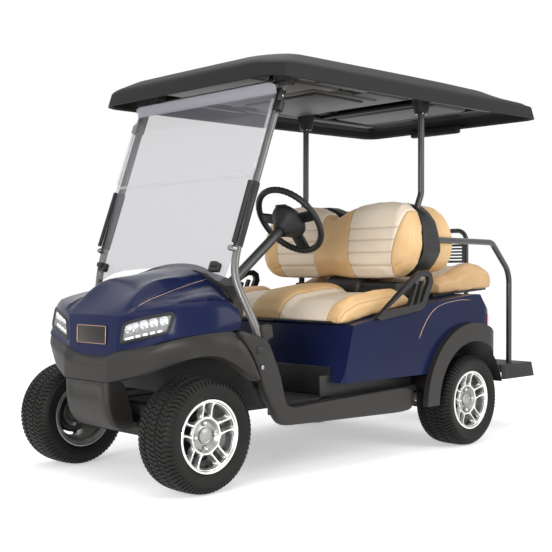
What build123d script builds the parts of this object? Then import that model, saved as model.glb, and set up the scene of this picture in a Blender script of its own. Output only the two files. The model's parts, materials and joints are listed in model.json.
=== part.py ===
from build123d import *
import os
from math import cos, radians, sin

os.makedirs("parts", exist_ok=True)

# Four-seat golf cart, millimetres. +X is the cart's left, +Y its rear and +Z up; it drives towards -Y.
# The origin is on the ground, under the middle of the bumper-to-step length.

# ---------------------------------------------------------------- driving sizes
WHEELBASE = 1664.0
FRONT_AXLE_Y = -1129.0
REAR_AXLE_Y = FRONT_AXLE_Y + WHEELBASE
FRONT_TRACK = 868.0
REAR_TRACK = 1009.0
SIDES = {"left": 1, "right": -1}

TYRE_RADIUS = 229.0
TYRE_WIDTH = 205.0
TYRE_WALL = 13.0
RIM_SEAT_RADIUS = 127.0
RIM_LIP_RADIUS = 146.0
RIM_WIDTH = 180.0
RIM_WALL = 6.0
SPOKE_PAIRS = 5
SPOKE_DISC_RADIUS = 126.0
SPOKE_DISC_WALL = 16.0
SPOKE_DISH = 20.0
HUB_DISC_RADIUS = 68.0
HUB_BORE_RADIUS = 17.5
HUB_LENGTH = 74.0
LUG_CIRCLE_RADIUS = 50.8
LUG_COUNT = 4
LUG_SEAT_RADIUS = 13.0
CENTRE_CAP_RADIUS = 31.0
SPINDLE_CLEARANCE = 0.05
FACE_CLEARANCE = 0.5

KINGPIN_X = 375.0
KINGPIN_RADIUS = 11.0
STEER_ARM_REACH = 68.0
STEER_ARM_SET_IN = 20.0

RAIL_X = 150.0
RAIL_WIDTH = 50.0
RAIL_DEPTH = 75.0
RAIL_BOTTOM_FRONT = 243.0
RAIL_BOTTOM_REAR = 330.0
RAIL_FRONT_Y = -1010.0
RAIL_REAR_Y = 1015.0
FLOOR_TOP = RAIL_BOTTOM_FRONT + RAIL_DEPTH

TOW_HOLE_RADIUS = 8.0
TOW_HOLE_FRONT_Y = -1190.0
TOW_HOLE_REAR_Y = 1262.0
TOW_PLATE = 10.0

SPRING_X = 310.0
SPRING_WIDTH = 50.0
SPRING_LEAF = 8.0
SPRING_FRONT_Y = 295.0
SPRING_REAR_Y = 775.0
SPRING_EYE_Z = 268.0
SPRING_EYE_RADIUS = 16.0
AXLE_TUBE_RADIUS = 30.0

PANEL_WALL = 5.0
TUBE_RADIUS = 16.0
RAIL_TUBE_RADIUS = 15.5
GRAB_TUBE_RADIUS = 13.5
TUBE_CLEARANCE = 0.5

BODY_HALF_WIDTH = 585.0
BODY_BOTTOM = 384.0
KICK_FOOT_Y = -422.0
KICK_TOP_Y = -357.0
KICK_TOP_Z = 634.0
BODY_REAR_Y = 776.0
BODY_CORNER = 120.0
ARCH_RADIUS = 296.0
FLARE_DEPTH = 92.0
FLARE_STAND_OUT = 30.0
FLARE_REACH = 99.0
WHEELHOUSE_X = 372.0

SEAT_HALF_WIDTH = 520.0
SEAT_REAR_Y = 138.0
HINGE_Y = -367.0
HINGE_Z = 642.0
HINGE_BARREL_RADIUS = 7.0
HINGE_PIN_RADIUS = 3.0
HINGE_HALF = 460.0
HINGE_KNUCKLE = 140.0
HINGE_KNUCKLE_X = (-245.0, 105.0)
HINGE_BARREL_SPANS = ((-HINGE_HALF, -250.0), (-100.0, 100.0), (250.0, HINGE_HALF))
SEAT_PAN = 14.0
BACKREST_HALF_WIDTH = 510.0
REAR_SEAT_HALF_WIDTH = 480.0
REAR_BACKREST_HALF_WIDTH = 440.0

SCREEN_LEAN = 17.8
SCREEN_HINGE_Y = -845.0
SCREEN_HINGE_Z = 1261.0
SCREEN_THICKNESS = 5.0
SCREEN_BOTTOM_GAP = 95.0
SCREEN_HINGE_GAP = 53.0
SCREEN_TOP_GAP = 35.0
CHANNEL_LENGTH = 310.0
SCREEN_LOWER_LENGTH = 388.0
SCREEN_UPPER_LENGTH = 396.0
SCREEN_FOLD_GAP = 6.0
CHANNEL_WIDTH = 22.0
CHANNEL_DEPTH = 20.0

COLUMN_TILT = 38.2
COLUMN_X = 260.0
WHEEL_HUB_Y = -425.0
WHEEL_HUB_Z = 1106.0
COLUMN_RADIUS = 22.0
STEER_SHAFT_RADIUS = 10.0
STEER_RIM_RADIUS = 170.0
STEER_GRIP_RADIUS = 14.0

ROOF_HALF_WIDTH = 600.0
ROOF_FRONT_Y = -868.0
ROOF_REAR_Y = 1175.0
ROOF_WALL = 6.0
ROOF_CORNER = 100.0
STRUT_INSET = 78.0
STRUT_TOP_X = ROOF_HALF_WIDTH - STRUT_INSET
STRUT_TOP_Y = -703.0
STRUT_KNEE_X = 500.0
REAR_POST_X = 400.0
REAR_POST_Y = 373.0
REAR_POST_TOP = 1690.0
STEP_HALF_WIDTH = 455.0
STEP_FRONT_Y = 1034.0
STEP_REAR_Y = 1363.0
STEP_TOP = 362.0
STEP_BOTTOM = 282.0
STEP_RAKE = 28.0
RAIL_FOOT_INSET = 183.0
HANGER_LENGTH = 230.0
HANGER_Y = STEP_REAR_Y - 193.0
RAIL_TAIL_Y = STEP_REAR_Y - 73.0
RAIL_TAIL_BOTTOM = 296.0
RAIL_TAIL_TOP = 340.0


# ---------------------------------------------------------------- shared forms
def symmetric(half):
    """Close a half outline, listed from the centre line round to it, by its mirror image."""
    return half + [(-x, y) for x, y in reversed(half) if x != 0]


def tube(points, bend, radius, bore=0.0):
    """Round tube along straight runs joined by bends; a bore makes it hollow."""
    with BuildPart() as pipe:
        with BuildLine() as route:
            if len(points) > 2:
                FilletPolyline(*points, radius=bend)
            else:
                Polyline(*points)
        start = Vector(*points[0])
        along = Vector(*points[1]) - start
        with BuildSketch(Plane(origin=start, z_dir=along)):
            Circle(radius)
            if bore:
                Circle(bore, mode=Mode.SUBTRACT)
        sweep(path=route.line)
    return pipe.part


def mirrored(part):
    """The right-hand twin of a left-hand piece."""
    return part.mirror(Plane.YZ)


# ---------------------------------------------------------------- tubes that carry the upper parts
STRUT_ROUTE = [
    (STRUT_TOP_X, STRUT_TOP_Y, 1672),
    (STRUT_KNEE_X, -951, 967),
    (STRUT_KNEE_X + 22, -1016, 868),
    (STRUT_KNEE_X + 45, -914, 555),
]
STRUT_BEND = 60.0
POST_ROUTE = [
    (REAR_POST_X, REAR_POST_Y, REAR_POST_TOP),
    (REAR_POST_X, REAR_POST_Y, 1262),
    (REAR_POST_X, 340, 1196),
    (REAR_POST_X, 340, 738),
]
POST_BEND = 60.0
SIDE_RAIL_ROUTE = [
    (REAR_POST_X + TUBE_RADIUS, 340, 1031),
    (474, 352, 1031),
    (445, 942, 1030),
    (404, STEP_REAR_Y - RAIL_FOOT_INSET, 868),
    (404, STEP_REAR_Y - RAIL_FOOT_INSET, STEP_TOP),
]
SIDE_RAIL_BEND = [34.0, 100.0, 120.0]

strut_left = tube(STRUT_ROUTE, STRUT_BEND, TUBE_RADIUS)
post_left = tube(POST_ROUTE, POST_BEND, TUBE_RADIUS)
for side, hand in SIDES.items():
    strut = strut_left if hand > 0 else mirrored(strut_left)
    strut.label = "strut_" + side
    export_step(strut, "parts/strut_" + side + ".step")
    post = post_left if hand > 0 else mirrored(post_left)
    post.label = "rear_post_" + side
    export_step(post, "parts/rear_post_" + side + ".step")

with BuildPart() as side_rail:
    add(tube(SIDE_RAIL_ROUTE, SIDE_RAIL_BEND, RAIL_TUBE_RADIUS))
    add(tube(POST_ROUTE, POST_BEND, TUBE_RADIUS + TUBE_CLEARANCE), mode=Mode.SUBTRACT)
for side, hand in SIDES.items():
    rail = side_rail.part if hand > 0 else mirrored(side_rail.part)
    rail.label = "side_rail_" + side
    export_step(rail, "parts/side_rail_" + side + ".step")

# ---------------------------------------------------------------- chassis frame
with BuildPart() as frame:
    for hand in SIDES.values():
        with BuildSketch(Plane.YZ.offset(hand * RAIL_X)):
            Polygon(
                (RAIL_FRONT_Y - 160, RAIL_BOTTOM_FRONT),
                (150, RAIL_BOTTOM_FRONT),
                (330, RAIL_BOTTOM_REAR),
                (700, RAIL_BOTTOM_REAR),
                (950, RAIL_TAIL_BOTTOM),
                (RAIL_TAIL_Y, RAIL_TAIL_BOTTOM),
                (RAIL_TAIL_Y, RAIL_TAIL_TOP),
                (1000, RAIL_TAIL_TOP),
                (740, BODY_BOTTOM - 6),
                (640, RAIL_BOTTOM_REAR + RAIL_DEPTH),
                (300, RAIL_BOTTOM_REAR + RAIL_DEPTH),
                (120, FLOOR_TOP),
                (RAIL_FRONT_Y - 160, FLOOR_TOP),
                align=None,
            )
        extrude(amount=RAIL_WIDTH / 2, both=True)
    for cross_y, low, high in ((-1129, 243, 318), (-480, 243, 318), (60, 243, 318), (700, 335, 375)):
        with Locations((0, cross_y, (low + high) / 2)):
            Box(2 * RAIL_X, 60, high - low)
    for hanger_y in (SPRING_FRONT_Y, SPRING_REAR_Y):
        with Locations((0, hanger_y, SPRING_EYE_Z + 45)):
            Box(2 * SPRING_X + 60, 40, 40)
        for hand in SIDES.values():
            for ear in (-1, 1):
                with Locations((hand * SPRING_X + ear * (SPRING_WIDTH / 2 + 5), hanger_y, SPRING_EYE_Z + 8)):
                    Box(6, 40, 60)
    for plate_y, plate_z, depth in ((TOW_HOLE_FRONT_Y, RAIL_BOTTOM_FRONT, 50), (TOW_HOLE_REAR_Y, 296, 50)):
        with Locations((0, plate_y, plate_z + TOW_PLATE / 2)):
            Box(2 * RAIL_X, depth, TOW_PLATE)
            Cylinder(TOW_HOLE_RADIUS, TOW_PLATE + 2, mode=Mode.SUBTRACT)
frame.part.label = "frame"
export_step(frame.part, "parts/frame.step")

# ---------------------------------------------------------------- front body mouldings
HOOD_BOTTOM = 545.0
HOOD_LOW_PLANE = 480.0
HOOD_SHOULDER_Z = 748.0
HOOD_TOP = 920.0
HOOD_NOSE = [
    (0, -1322), (167, -1322), (400, -1280), (480, -1190), (521, -1100), (521, -976), (420, -950), (0, -880),
]
HOOD_SHOULDER = [
    (0, -1316), (180, -1312), (412, -1198), (474, -1136), (512, -1033), (518, -976), (420, -950), (0, -880),
]
HOOD_CENTRE_LINE = [
    (-1322, HOOD_BOTTOM), (-1318, 690), (-1300, 714), (-1223, 767), (-1099, 838), (-950, 888), (-860, 905),
]
HOOD_CROWN = [(0, 905), (150, 896), (300, 858), (420, 839), (512, 748)]


def hood_form(inset, drop):
    """Nose form: plan sections lofted up, trimmed by the centre line and the crown."""
    rise = (HOOD_TOP - HOOD_SHOULDER_Z) / (HOOD_SHOULDER_Z - HOOD_BOTTOM)
    fall = (HOOD_LOW_PLANE - HOOD_BOTTOM) / (HOOD_SHOULDER_Z - HOOD_BOTTOM)
    corners = list(zip(HOOD_SHOULDER, HOOD_NOSE))
    high = [(a[0] + (a[0] - b[0]) * rise, a[1] + (a[1] - b[1]) * rise) for a, b in corners]
    low = [(b[0] + (a[0] - b[0]) * fall, b[1] + (a[1] - b[1]) * fall) for a, b in corners]
    with BuildPart() as form:
        for level, outline in ((HOOD_LOW_PLANE, low), (HOOD_TOP, high)):
            with BuildSketch(Plane.XY.offset(level)):
                Polygon(*symmetric(outline), align=None)
                if inset:
                    offset(amount=-inset, kind=Kind.INTERSECTION)
        loft(ruled=True)
        with BuildSketch(Plane.YZ):
            Polygon(*HOOD_CENTRE_LINE, (-700, 905), (-700, HOOD_BOTTOM), align=None)
            if inset:
                offset(amount=-inset, kind=Kind.INTERSECTION)
                with Locations((-1010, HOOD_BOTTOM - drop / 2 + 20)):
                    Rectangle(2 * (312 - inset), drop + 40)
                with Locations((-710, 700)):
                    Rectangle(200, 380)
        extrude(amount=700, both=True, mode=Mode.INTERSECT)
        with BuildSketch(Plane.XZ):
            Polygon(*symmetric(HOOD_CROWN + [(560, HOOD_SHOULDER_Z - 4), (560, 400)]), align=None)
            if inset:
                offset(amount=-inset, kind=Kind.INTERSECTION)
        extrude(amount=1500, both=True, mode=Mode.INTERSECT)
    return form.part


ROCKER_INNER_X = 512.0
ROCKER_OUTER_X = 574.0
SEAM_GAP = 1.5
ROCKER_SIDE = [
    (-1003, 630), (-946, 550), (-917, 466), (-883, 417), (-812, 268), (-765, 240), (125, 212), (118, 336),
    (-429, 322), (-732, 307), (-760, 329), (-788, 447), (-845, 569), (-872, 630),
]
with BuildPart() as clear_strut:
    add(tube(STRUT_ROUTE, STRUT_BEND, TUBE_RADIUS + TUBE_CLEARANCE))
with BuildPart() as rocker_room:
    with BuildSketch(Plane.YZ.offset(ROCKER_INNER_X - SEAM_GAP)):
        Polygon(*ROCKER_SIDE, align=None)
        offset(amount=SEAM_GAP, kind=Kind.INTERSECTION)
    extrude(amount=ROCKER_OUTER_X - ROCKER_INNER_X + 2 * SEAM_GAP)

LAMP_FACE = [(186, 577), (203, 652), (425, 692), (408, 632)]
LAMP_GAP = 1.5
FENDER_HALF_WIDTH = 532.0
BUMPER_PLAN = [
    (0, -1363), (150, -1360), (330, -1302), (450, -1220), (522, -1118),
    (FENDER_HALF_WIDTH, -1050), (FENDER_HALF_WIDTH, -950), (0, -950),
]
BUMPER_FACE = [
    (0, 528), (170, 528), (330, 568), (450, 619), (522, 632), (540, 632),
    (540, 543), (480, 534), (400, 507), (200, 452), (150, 424), (0, 424),
]
FENDER_LEG = [
    (-1188, 546), (-1124, 543), (-1051, 511), (-984, 449), (-916, 379), (-884, 417),
    (-918, 466), (-947, 550), (-1004, 631), (-1117, 631), (-1180, 624),
]

with BuildPart() as nose_core:
    add(hood_form(PANEL_WALL, 90))
with BuildPart() as lamp_prism:
    with BuildSketch(Plane.XZ.offset(1120)):
        Polygon(*LAMP_FACE, align=None)
    extrude(amount=260)
with BuildPart() as lamp_window:
    with BuildSketch(Plane.XZ.offset(1120)):
        Polygon(*LAMP_FACE, align=None)
        offset(amount=LAMP_GAP, kind=Kind.INTERSECTION)
    extrude(amount=260)
with BuildPart() as hood:
    add(hood_form(0, 0))
    add(nose_core.part, mode=Mode.SUBTRACT)
    for hand in SIDES.values():
        add(lamp_window.part if hand > 0 else mirrored(lamp_window.part), mode=Mode.SUBTRACT)
        for room in (clear_strut.part, rocker_room.part):
            add(room if hand > 0 else mirrored(room), mode=Mode.SUBTRACT)
hood.part.label = "hood"
export_step(hood.part, "parts/hood.step")

with BuildPart() as headlamp:
    add(hood_form(0, 0))
    add(hood_form(40, 90), mode=Mode.SUBTRACT)
    add(lamp_prism.part, mode=Mode.INTERSECT)
for side, hand in SIDES.items():
    lamp = headlamp.part if hand > 0 else mirrored(headlamp.part)
    lamp.label = "headlamp_" + side
    export_step(lamp, "parts/headlamp_" + side + ".step")

with BuildPart() as bumper:
    with BuildSketch(Plane.XY.offset(400)):
        Polygon(*symmetric(BUMPER_PLAN), align=None)
    extrude(amount=260)
    with BuildSketch(Plane.XZ):
        Polygon(*symmetric(BUMPER_FACE), align=None)
    extrude(amount=1500, mode=Mode.INTERSECT)
    with BuildSketch(Plane.XY.offset(390)):
        Polygon(*symmetric(BUMPER_PLAN), align=None)
        offset(amount=-PANEL_WALL, kind=Kind.INTERSECTION)
        with Locations((0, -940)):
            Rectangle(2 * (FENDER_HALF_WIDTH - PANEL_WALL), 60)
    extrude(amount=300, mode=Mode.SUBTRACT)
    with BuildSketch(Plane.YZ.offset(FENDER_HALF_WIDTH - PANEL_WALL)):
        Polygon(*FENDER_LEG, align=None)
    extrude(amount=PANEL_WALL)
    with BuildSketch(Plane.YZ.offset(-FENDER_HALF_WIDTH)):
        Polygon(*FENDER_LEG, align=None)
    extrude(amount=PANEL_WALL)
    add(hood_form(0, 0), mode=Mode.SUBTRACT)
    for hand in SIDES.values():
        for room in (clear_strut.part, rocker_room.part):
            add(room if hand > 0 else mirrored(room), mode=Mode.SUBTRACT)
bumper.part.label = "bumper"
export_step(bumper.part, "parts/bumper.step")

CHIN_HALF_WIDTH = 150.0
CHIN_CORNER = 12.0
CHIN_SIDE = [(-1357, 423), (-1352, 330), (-1330, 262), (-1300, 226), (-1226, 226), (-1262, 330), (-1278, 423)]
with BuildPart() as chin:
    with BuildSketch(Plane.YZ):
        Polygon(*CHIN_SIDE, align=None)
    extrude(amount=CHIN_HALF_WIDTH, both=True)
    with BuildSketch(Plane.YZ):
        Polygon(*CHIN_SIDE, align=None)
        offset(amount=-PANEL_WALL, kind=Kind.INTERSECTION)
        with Locations((-1250, 320)):
            Rectangle(60, 190)
    extrude(amount=CHIN_HALF_WIDTH - PANEL_WALL, both=True, mode=Mode.SUBTRACT)
    with BuildSketch(Plane.XY.offset(200)):
        with Locations((0, CHIN_SIDE[0][0] + 120)):
            RectangleRounded(2 * CHIN_HALF_WIDTH, 240, CHIN_CORNER)
    extrude(amount=240, mode=Mode.INTERSECT)
chin.part.label = "chin"
export_step(chin.part, "parts/chin.step")

# ---------------------------------------------------------------- floor, rockers and dash
FLOOR_HALF_WIDTH = 508.0
FLOOR_SHEET = 6.0
FLOOR_LINE = [(KICK_FOOT_Y, 321), (-830, 321), (-905, 430), (-945, 500), (-965, 640)]
with BuildPart() as floor:
    with BuildSketch(Plane.YZ.offset(-FLOOR_HALF_WIDTH)):
        with BuildLine():
            Polyline(*FLOOR_LINE)
        trace(line_width=FLOOR_SHEET)
    extrude(amount=2 * FLOOR_HALF_WIDTH)
    add(hood_form(0, 0), mode=Mode.SUBTRACT)
floor.part.label = "floor"
export_step(floor.part, "parts/floor.step")

with BuildPart() as rocker:
    with BuildSketch(Plane.YZ.offset(ROCKER_INNER_X)):
        Polygon(*ROCKER_SIDE, align=None)
    extrude(amount=ROCKER_OUTER_X - ROCKER_INNER_X)
    with BuildSketch(Plane.YZ.offset(ROCKER_INNER_X)):
        Polygon(*ROCKER_SIDE, align=None)
        offset(amount=-PANEL_WALL, kind=Kind.INTERSECTION)
    extrude(amount=ROCKER_OUTER_X - ROCKER_INNER_X - PANEL_WALL, mode=Mode.SUBTRACT)
    add(clear_strut.part, mode=Mode.SUBTRACT)
for side, hand in SIDES.items():
    trim = rocker.part if hand > 0 else mirrored(rocker.part)
    trim.label = "rocker_" + side
    export_step(trim, "parts/rocker_" + side + ".step")

DASH_HALF_WIDTH = 470.0
DASH_SHELF_HALF_WIDTH = 345.0
DASH_SIDE = [
    (-958, 645), (-862, 645), (-800, 690), (-808, 742), (-846, 760),
    (-838, 852), (-858, 886), (-876, 886), (-958, 866),
]
DASH_PLAN = [
    (0, -970), (DASH_HALF_WIDTH, -970), (DASH_HALF_WIDTH - 70, -858), (DASH_SHELF_HALF_WIDTH, -790), (0, -790),
]
DASH_CROWN = [(0, 888), (150, 880), (300, 842), (DASH_HALF_WIDTH - 70, 812), (DASH_HALF_WIDTH, 740)]
with BuildPart() as dash:
    with BuildSketch(Plane.YZ):
        Polygon(*DASH_SIDE, align=None)
    extrude(amount=DASH_HALF_WIDTH, both=True)
    with BuildSketch(Plane.XY.offset(600)):
        Polygon(*symmetric(DASH_PLAN), align=None)
    extrude(amount=300, mode=Mode.INTERSECT)
    with BuildSketch(Plane.XZ.offset(700)):
        Polygon(*symmetric(DASH_CROWN + [(DASH_HALF_WIDTH, 600)]), align=None)
    extrude(amount=300, mode=Mode.INTERSECT)
    add(hood_form(0, 0), mode=Mode.SUBTRACT)
    add(nose_core.part, mode=Mode.SUBTRACT)
    for hand in SIDES.values():
        add(clear_strut.part if hand > 0 else mirrored(clear_strut.part), mode=Mode.SUBTRACT)
dash.part.label = "dash"
export_step(dash.part, "parts/dash.step")

# ---------------------------------------------------------------- rear body
DECK_BREAK_Y = 125.0
DECK_BREAK_Z = 714.0
DECK_SLOPE = (DECK_BREAK_Z - KICK_TOP_Z) / (DECK_BREAK_Y - KICK_TOP_Y)
DECK_REAR_Y = 590.0
DECK_REAR_Z = 759.0
BODY_SIDE = [
    (KICK_FOOT_Y, BODY_BOTTOM), (KICK_TOP_Y, KICK_TOP_Z), (DECK_BREAK_Y, DECK_BREAK_Z),
    (DECK_REAR_Y, DECK_REAR_Z), (625, 757), (661, 713), (728, 654), (765, 600),
    (BODY_REAR_Y, 500), (BODY_REAR_Y, BODY_BOTTOM),
]
BODY_NOSE_CORNER = 26.0


def body_plan(grow):
    """Plan outline of the rear body in the sketch that is open, grown outwards all round."""
    Polygon(
        (-BODY_HALF_WIDTH - grow, KICK_FOOT_Y - grow),
        (BODY_HALF_WIDTH + grow, KICK_FOOT_Y - grow),
        (BODY_HALF_WIDTH + grow, BODY_REAR_Y + grow),
        (-BODY_HALF_WIDTH - grow, BODY_REAR_Y + grow),
        align=None,
    )


def body_form(grow, drop):
    """Outer shape of the rear body, grown by an amount, with its open bottom lowered by drop."""
    with BuildPart() as form:
        with BuildSketch(Plane.XY.offset(BODY_BOTTOM - drop)) as plan:
            body_plan(grow)
            fillet(plan.vertices().group_by(Axis.Y)[-1], radius=BODY_CORNER + grow)
            fillet(plan.vertices().group_by(Axis.Y)[0], radius=BODY_NOSE_CORNER + grow)
        extrude(amount=450 + drop)
        with BuildSketch(Plane.YZ):
            Polygon(*BODY_SIDE, align=None)
            if grow:
                offset(amount=grow, kind=Kind.INTERSECTION)
            if drop:
                with Locations(((KICK_FOOT_Y + BODY_REAR_Y) / 2, BODY_BOTTOM - drop / 2 + 10)):
                    Rectangle(BODY_REAR_Y - KICK_FOOT_Y + 2 * grow, drop + 20)
        extrude(amount=700, both=True, mode=Mode.INTERSECT)
    return form.part


TAIL_LAMP_LOW = 600.0
TAIL_LAMP_HIGH = 654.0
TAIL_LAMP_REACH = 99.0
TAIL_LAMP_INNER_X = BODY_HALF_WIDTH - TAIL_LAMP_REACH
TAIL_LAMP_OUTER_X = BODY_HALF_WIDTH + 35
TAIL_LAMP_REAR_Y = BODY_REAR_Y + 44
TAIL_LAMP_Y = 690.0
TAIL_LAMP_DEPTH = 12.0
with BuildPart() as tail_block:
    with BuildSketch(Plane.XY.offset(TAIL_LAMP_LOW)):
        Polygon(
            (TAIL_LAMP_INNER_X, TAIL_LAMP_Y), (TAIL_LAMP_OUTER_X, TAIL_LAMP_Y),
            (TAIL_LAMP_OUTER_X, TAIL_LAMP_REAR_Y), (TAIL_LAMP_INNER_X, TAIL_LAMP_REAR_Y),
            align=None,
        )
    extrude(amount=TAIL_LAMP_HIGH - TAIL_LAMP_LOW)
with BuildPart() as tail_lamp:
    add(body_form(4, 0))
    add(body_form(-TAIL_LAMP_DEPTH, 60), mode=Mode.SUBTRACT)
    add(tail_block.part, mode=Mode.INTERSECT)
for side, hand in SIDES.items():
    lamp = tail_lamp.part if hand > 0 else mirrored(tail_lamp.part)
    lamp.label = "tail_lamp_" + side
    export_step(lamp, "parts/tail_lamp_" + side + ".step")

BAY_HALF_WIDTH = 430.0
BAY_FRONT_Y = -315.0
BAY_REAR_Y = 105.0
LINER_WALL = 4.0
with BuildPart() as body:
    add(body_form(0, 0))
    add(body_form(-PANEL_WALL, 60), mode=Mode.SUBTRACT)
    with Locations((0, (BAY_FRONT_Y + BAY_REAR_Y) / 2, 700)):
        Box(2 * BAY_HALF_WIDTH, BAY_REAR_Y - BAY_FRONT_Y, 200, mode=Mode.SUBTRACT)
    with BuildSketch(Plane.YZ.offset(-700)):
        with Locations((REAR_AXLE_Y, TYRE_RADIUS)):
            Circle(ARCH_RADIUS + LINER_WALL)
    extrude(amount=700 - WHEELHOUSE_X, mode=Mode.SUBTRACT)
    with BuildSketch(Plane.YZ.offset(WHEELHOUSE_X)):
        with Locations((REAR_AXLE_Y, TYRE_RADIUS)):
            Circle(ARCH_RADIUS + LINER_WALL)
    extrude(amount=700 - WHEELHOUSE_X, mode=Mode.SUBTRACT)
    for hand in SIDES.values():
        add(tail_block.part if hand > 0 else mirrored(tail_block.part), mode=Mode.SUBTRACT)
    for low_x in HINGE_KNUCKLE_X:
        with BuildSketch(Plane.YZ.offset(low_x)):
            with Locations((HINGE_Y, HINGE_Z)):
                Circle(HINGE_BARREL_RADIUS)
            Polygon(
                (HINGE_Y, HINGE_Z - HINGE_BARREL_RADIUS),
                (KICK_TOP_Y + 4, HINGE_Z - HINGE_BARREL_RADIUS - 8),
                (KICK_TOP_Y + 4, KICK_TOP_Z - 1),
                (HINGE_Y, HINGE_Z - 1),
                align=None,
            )
        extrude(amount=HINGE_KNUCKLE)
    with BuildSketch(Plane.YZ.offset(-HINGE_HALF)):
        with Locations((HINGE_Y, HINGE_Z)):
            Circle(HINGE_PIN_RADIUS)
    extrude(amount=2 * HINGE_HALF)
body.part.label = "body"
export_step(body.part, "parts/body.step")

FLARE_FOOT_Z = 232.0
FLARE_HEEL_Z = 322.0
LINER_FOOT_Z = 300.0
with BuildPart() as flare:
    with BuildSketch(Plane.XY.offset(FLARE_FOOT_Z)) as plan:
        body_plan(FLARE_STAND_OUT)
        fillet(plan.vertices().group_by(Axis.Y)[-1], radius=BODY_CORNER + FLARE_STAND_OUT)
    extrude(amount=420)
    with BuildSketch(Plane.XY.offset(FLARE_FOOT_Z)) as plan:
        body_plan(0)
        fillet(plan.vertices().group_by(Axis.Y)[-1], radius=BODY_CORNER)
    extrude(amount=420, mode=Mode.SUBTRACT)
    with BuildSketch(Plane.YZ.offset(BODY_HALF_WIDTH - FLARE_REACH)):
        with Locations((REAR_AXLE_Y, TYRE_RADIUS)):
            Circle(ARCH_RADIUS + FLARE_DEPTH)
            Circle(ARCH_RADIUS, mode=Mode.SUBTRACT)
    extrude(amount=200, mode=Mode.INTERSECT)
    with Locations((550, REAR_AXLE_Y + 250, FLARE_HEEL_Z / 2)):
        Box(200, 500, FLARE_HEEL_Z, mode=Mode.SUBTRACT)
    with BuildSketch(Plane.YZ.offset(WHEELHOUSE_X)):
        with Locations((REAR_AXLE_Y, TYRE_RADIUS)):
            Circle(ARCH_RADIUS + LINER_WALL - 0.3)
        with Locations((REAR_AXLE_Y, LINER_FOOT_Z - 250)):
            Rectangle(900, 500, mode=Mode.SUBTRACT)
    extrude(amount=BODY_HALF_WIDTH - WHEELHOUSE_X)
    with BuildSketch(Plane.YZ.offset(WHEELHOUSE_X + LINER_WALL)):
        with Locations((REAR_AXLE_Y, TYRE_RADIUS)):
            Circle(ARCH_RADIUS)
    extrude(amount=200 + BODY_HALF_WIDTH - WHEELHOUSE_X, mode=Mode.SUBTRACT)
for side, hand in SIDES.items():
    arch = flare.part if hand > 0 else mirrored(flare.part)
    arch.label = "flare_" + side
    export_step(arch, "parts/flare_" + side + ".step")

KICK_PANEL_TOP = 450.0
KICK_PANEL_HALF_WIDTH = 500.0
KICK_SLOPE = (KICK_TOP_Y - KICK_FOOT_Y) / (KICK_TOP_Z - BODY_BOTTOM)
with BuildPart() as kick_panel:
    with BuildSketch(Plane.YZ):
        Polygon(
            (KICK_FOOT_Y - 15, FLOOR_TOP + 6.2),
            (KICK_FOOT_Y - 1, FLOOR_TOP + 6.2),
            (KICK_FOOT_Y - 1, BODY_BOTTOM),
            (KICK_FOOT_Y - 1 + KICK_SLOPE * (KICK_PANEL_TOP - BODY_BOTTOM), KICK_PANEL_TOP),
            (KICK_FOOT_Y - 9 + KICK_SLOPE * (KICK_PANEL_TOP - BODY_BOTTOM), KICK_PANEL_TOP),
            (KICK_FOOT_Y - 15, BODY_BOTTOM),
            align=None,
        )
    extrude(amount=KICK_PANEL_HALF_WIDTH, both=True)
kick_panel.part.label = "kick_panel"
export_step(kick_panel.part, "parts/kick_panel.step")

# ---------------------------------------------------------------- seats
PAN_GAP = 0.8
PAN_FRONT_Y = -340.0


def deck_height(y):
    """Height of the sloping deck under the front seat."""
    return KICK_TOP_Z + DECK_SLOPE * (y - KICK_TOP_Y)


with BuildPart() as seat_pan:
    with BuildSketch(Plane.YZ):
        Polygon(
            (PAN_FRONT_Y, deck_height(PAN_FRONT_Y) + PAN_GAP),
            (SEAT_REAR_Y, deck_height(SEAT_REAR_Y) + PAN_GAP),
            (SEAT_REAR_Y, deck_height(SEAT_REAR_Y) + PAN_GAP + SEAT_PAN),
            (PAN_FRONT_Y, deck_height(PAN_FRONT_Y) + PAN_GAP + SEAT_PAN),
            align=None,
        )
    extrude(amount=SEAT_HALF_WIDTH - 20, both=True)
    for low_x, high_x in HINGE_BARREL_SPANS:
        with BuildSketch(Plane.YZ.offset(low_x)):
            with Locations((HINGE_Y, HINGE_Z)):
                Circle(HINGE_BARREL_RADIUS)
            Polygon(
                (HINGE_Y, HINGE_Z + 1),
                (PAN_FRONT_Y + 5, HINGE_Z + 1),
                (PAN_FRONT_Y + 5, HINGE_Z + HINGE_BARREL_RADIUS),
                (HINGE_Y, HINGE_Z + HINGE_BARREL_RADIUS),
                align=None,
            )
        extrude(amount=high_x - low_x)
    with BuildSketch(Plane.YZ.offset(-HINGE_HALF)):
        with Locations((HINGE_Y, HINGE_Z)):
            Circle(HINGE_PIN_RADIUS + SPINDLE_CLEARANCE)
    extrude(amount=2 * HINGE_HALF, mode=Mode.SUBTRACT)
seat_pan.part.label = "seat_pan"
export_step(seat_pan.part, "parts/seat_pan.step")

CUSHION_LIFT = PAN_GAP + SEAT_PAN + 0.3
with BuildPart() as seat_cushion:
    with BuildSketch(Plane.YZ):
        Polygon(
            (KICK_TOP_Y, deck_height(KICK_TOP_Y) + CUSHION_LIFT),
            (SEAT_REAR_Y, deck_height(SEAT_REAR_Y) + CUSHION_LIFT),
            (SEAT_REAR_Y, 785),
            (100, 808),
            (-60, 800),
            (-250, 776),
            (-335, 742),
            (-365, 695),
            align=None,
        )
    extrude(amount=SEAT_HALF_WIDTH, both=True)
seat_cushion.part.label = "seat_cushion"
export_step(seat_cushion.part, "parts/seat_cushion.step")

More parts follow.
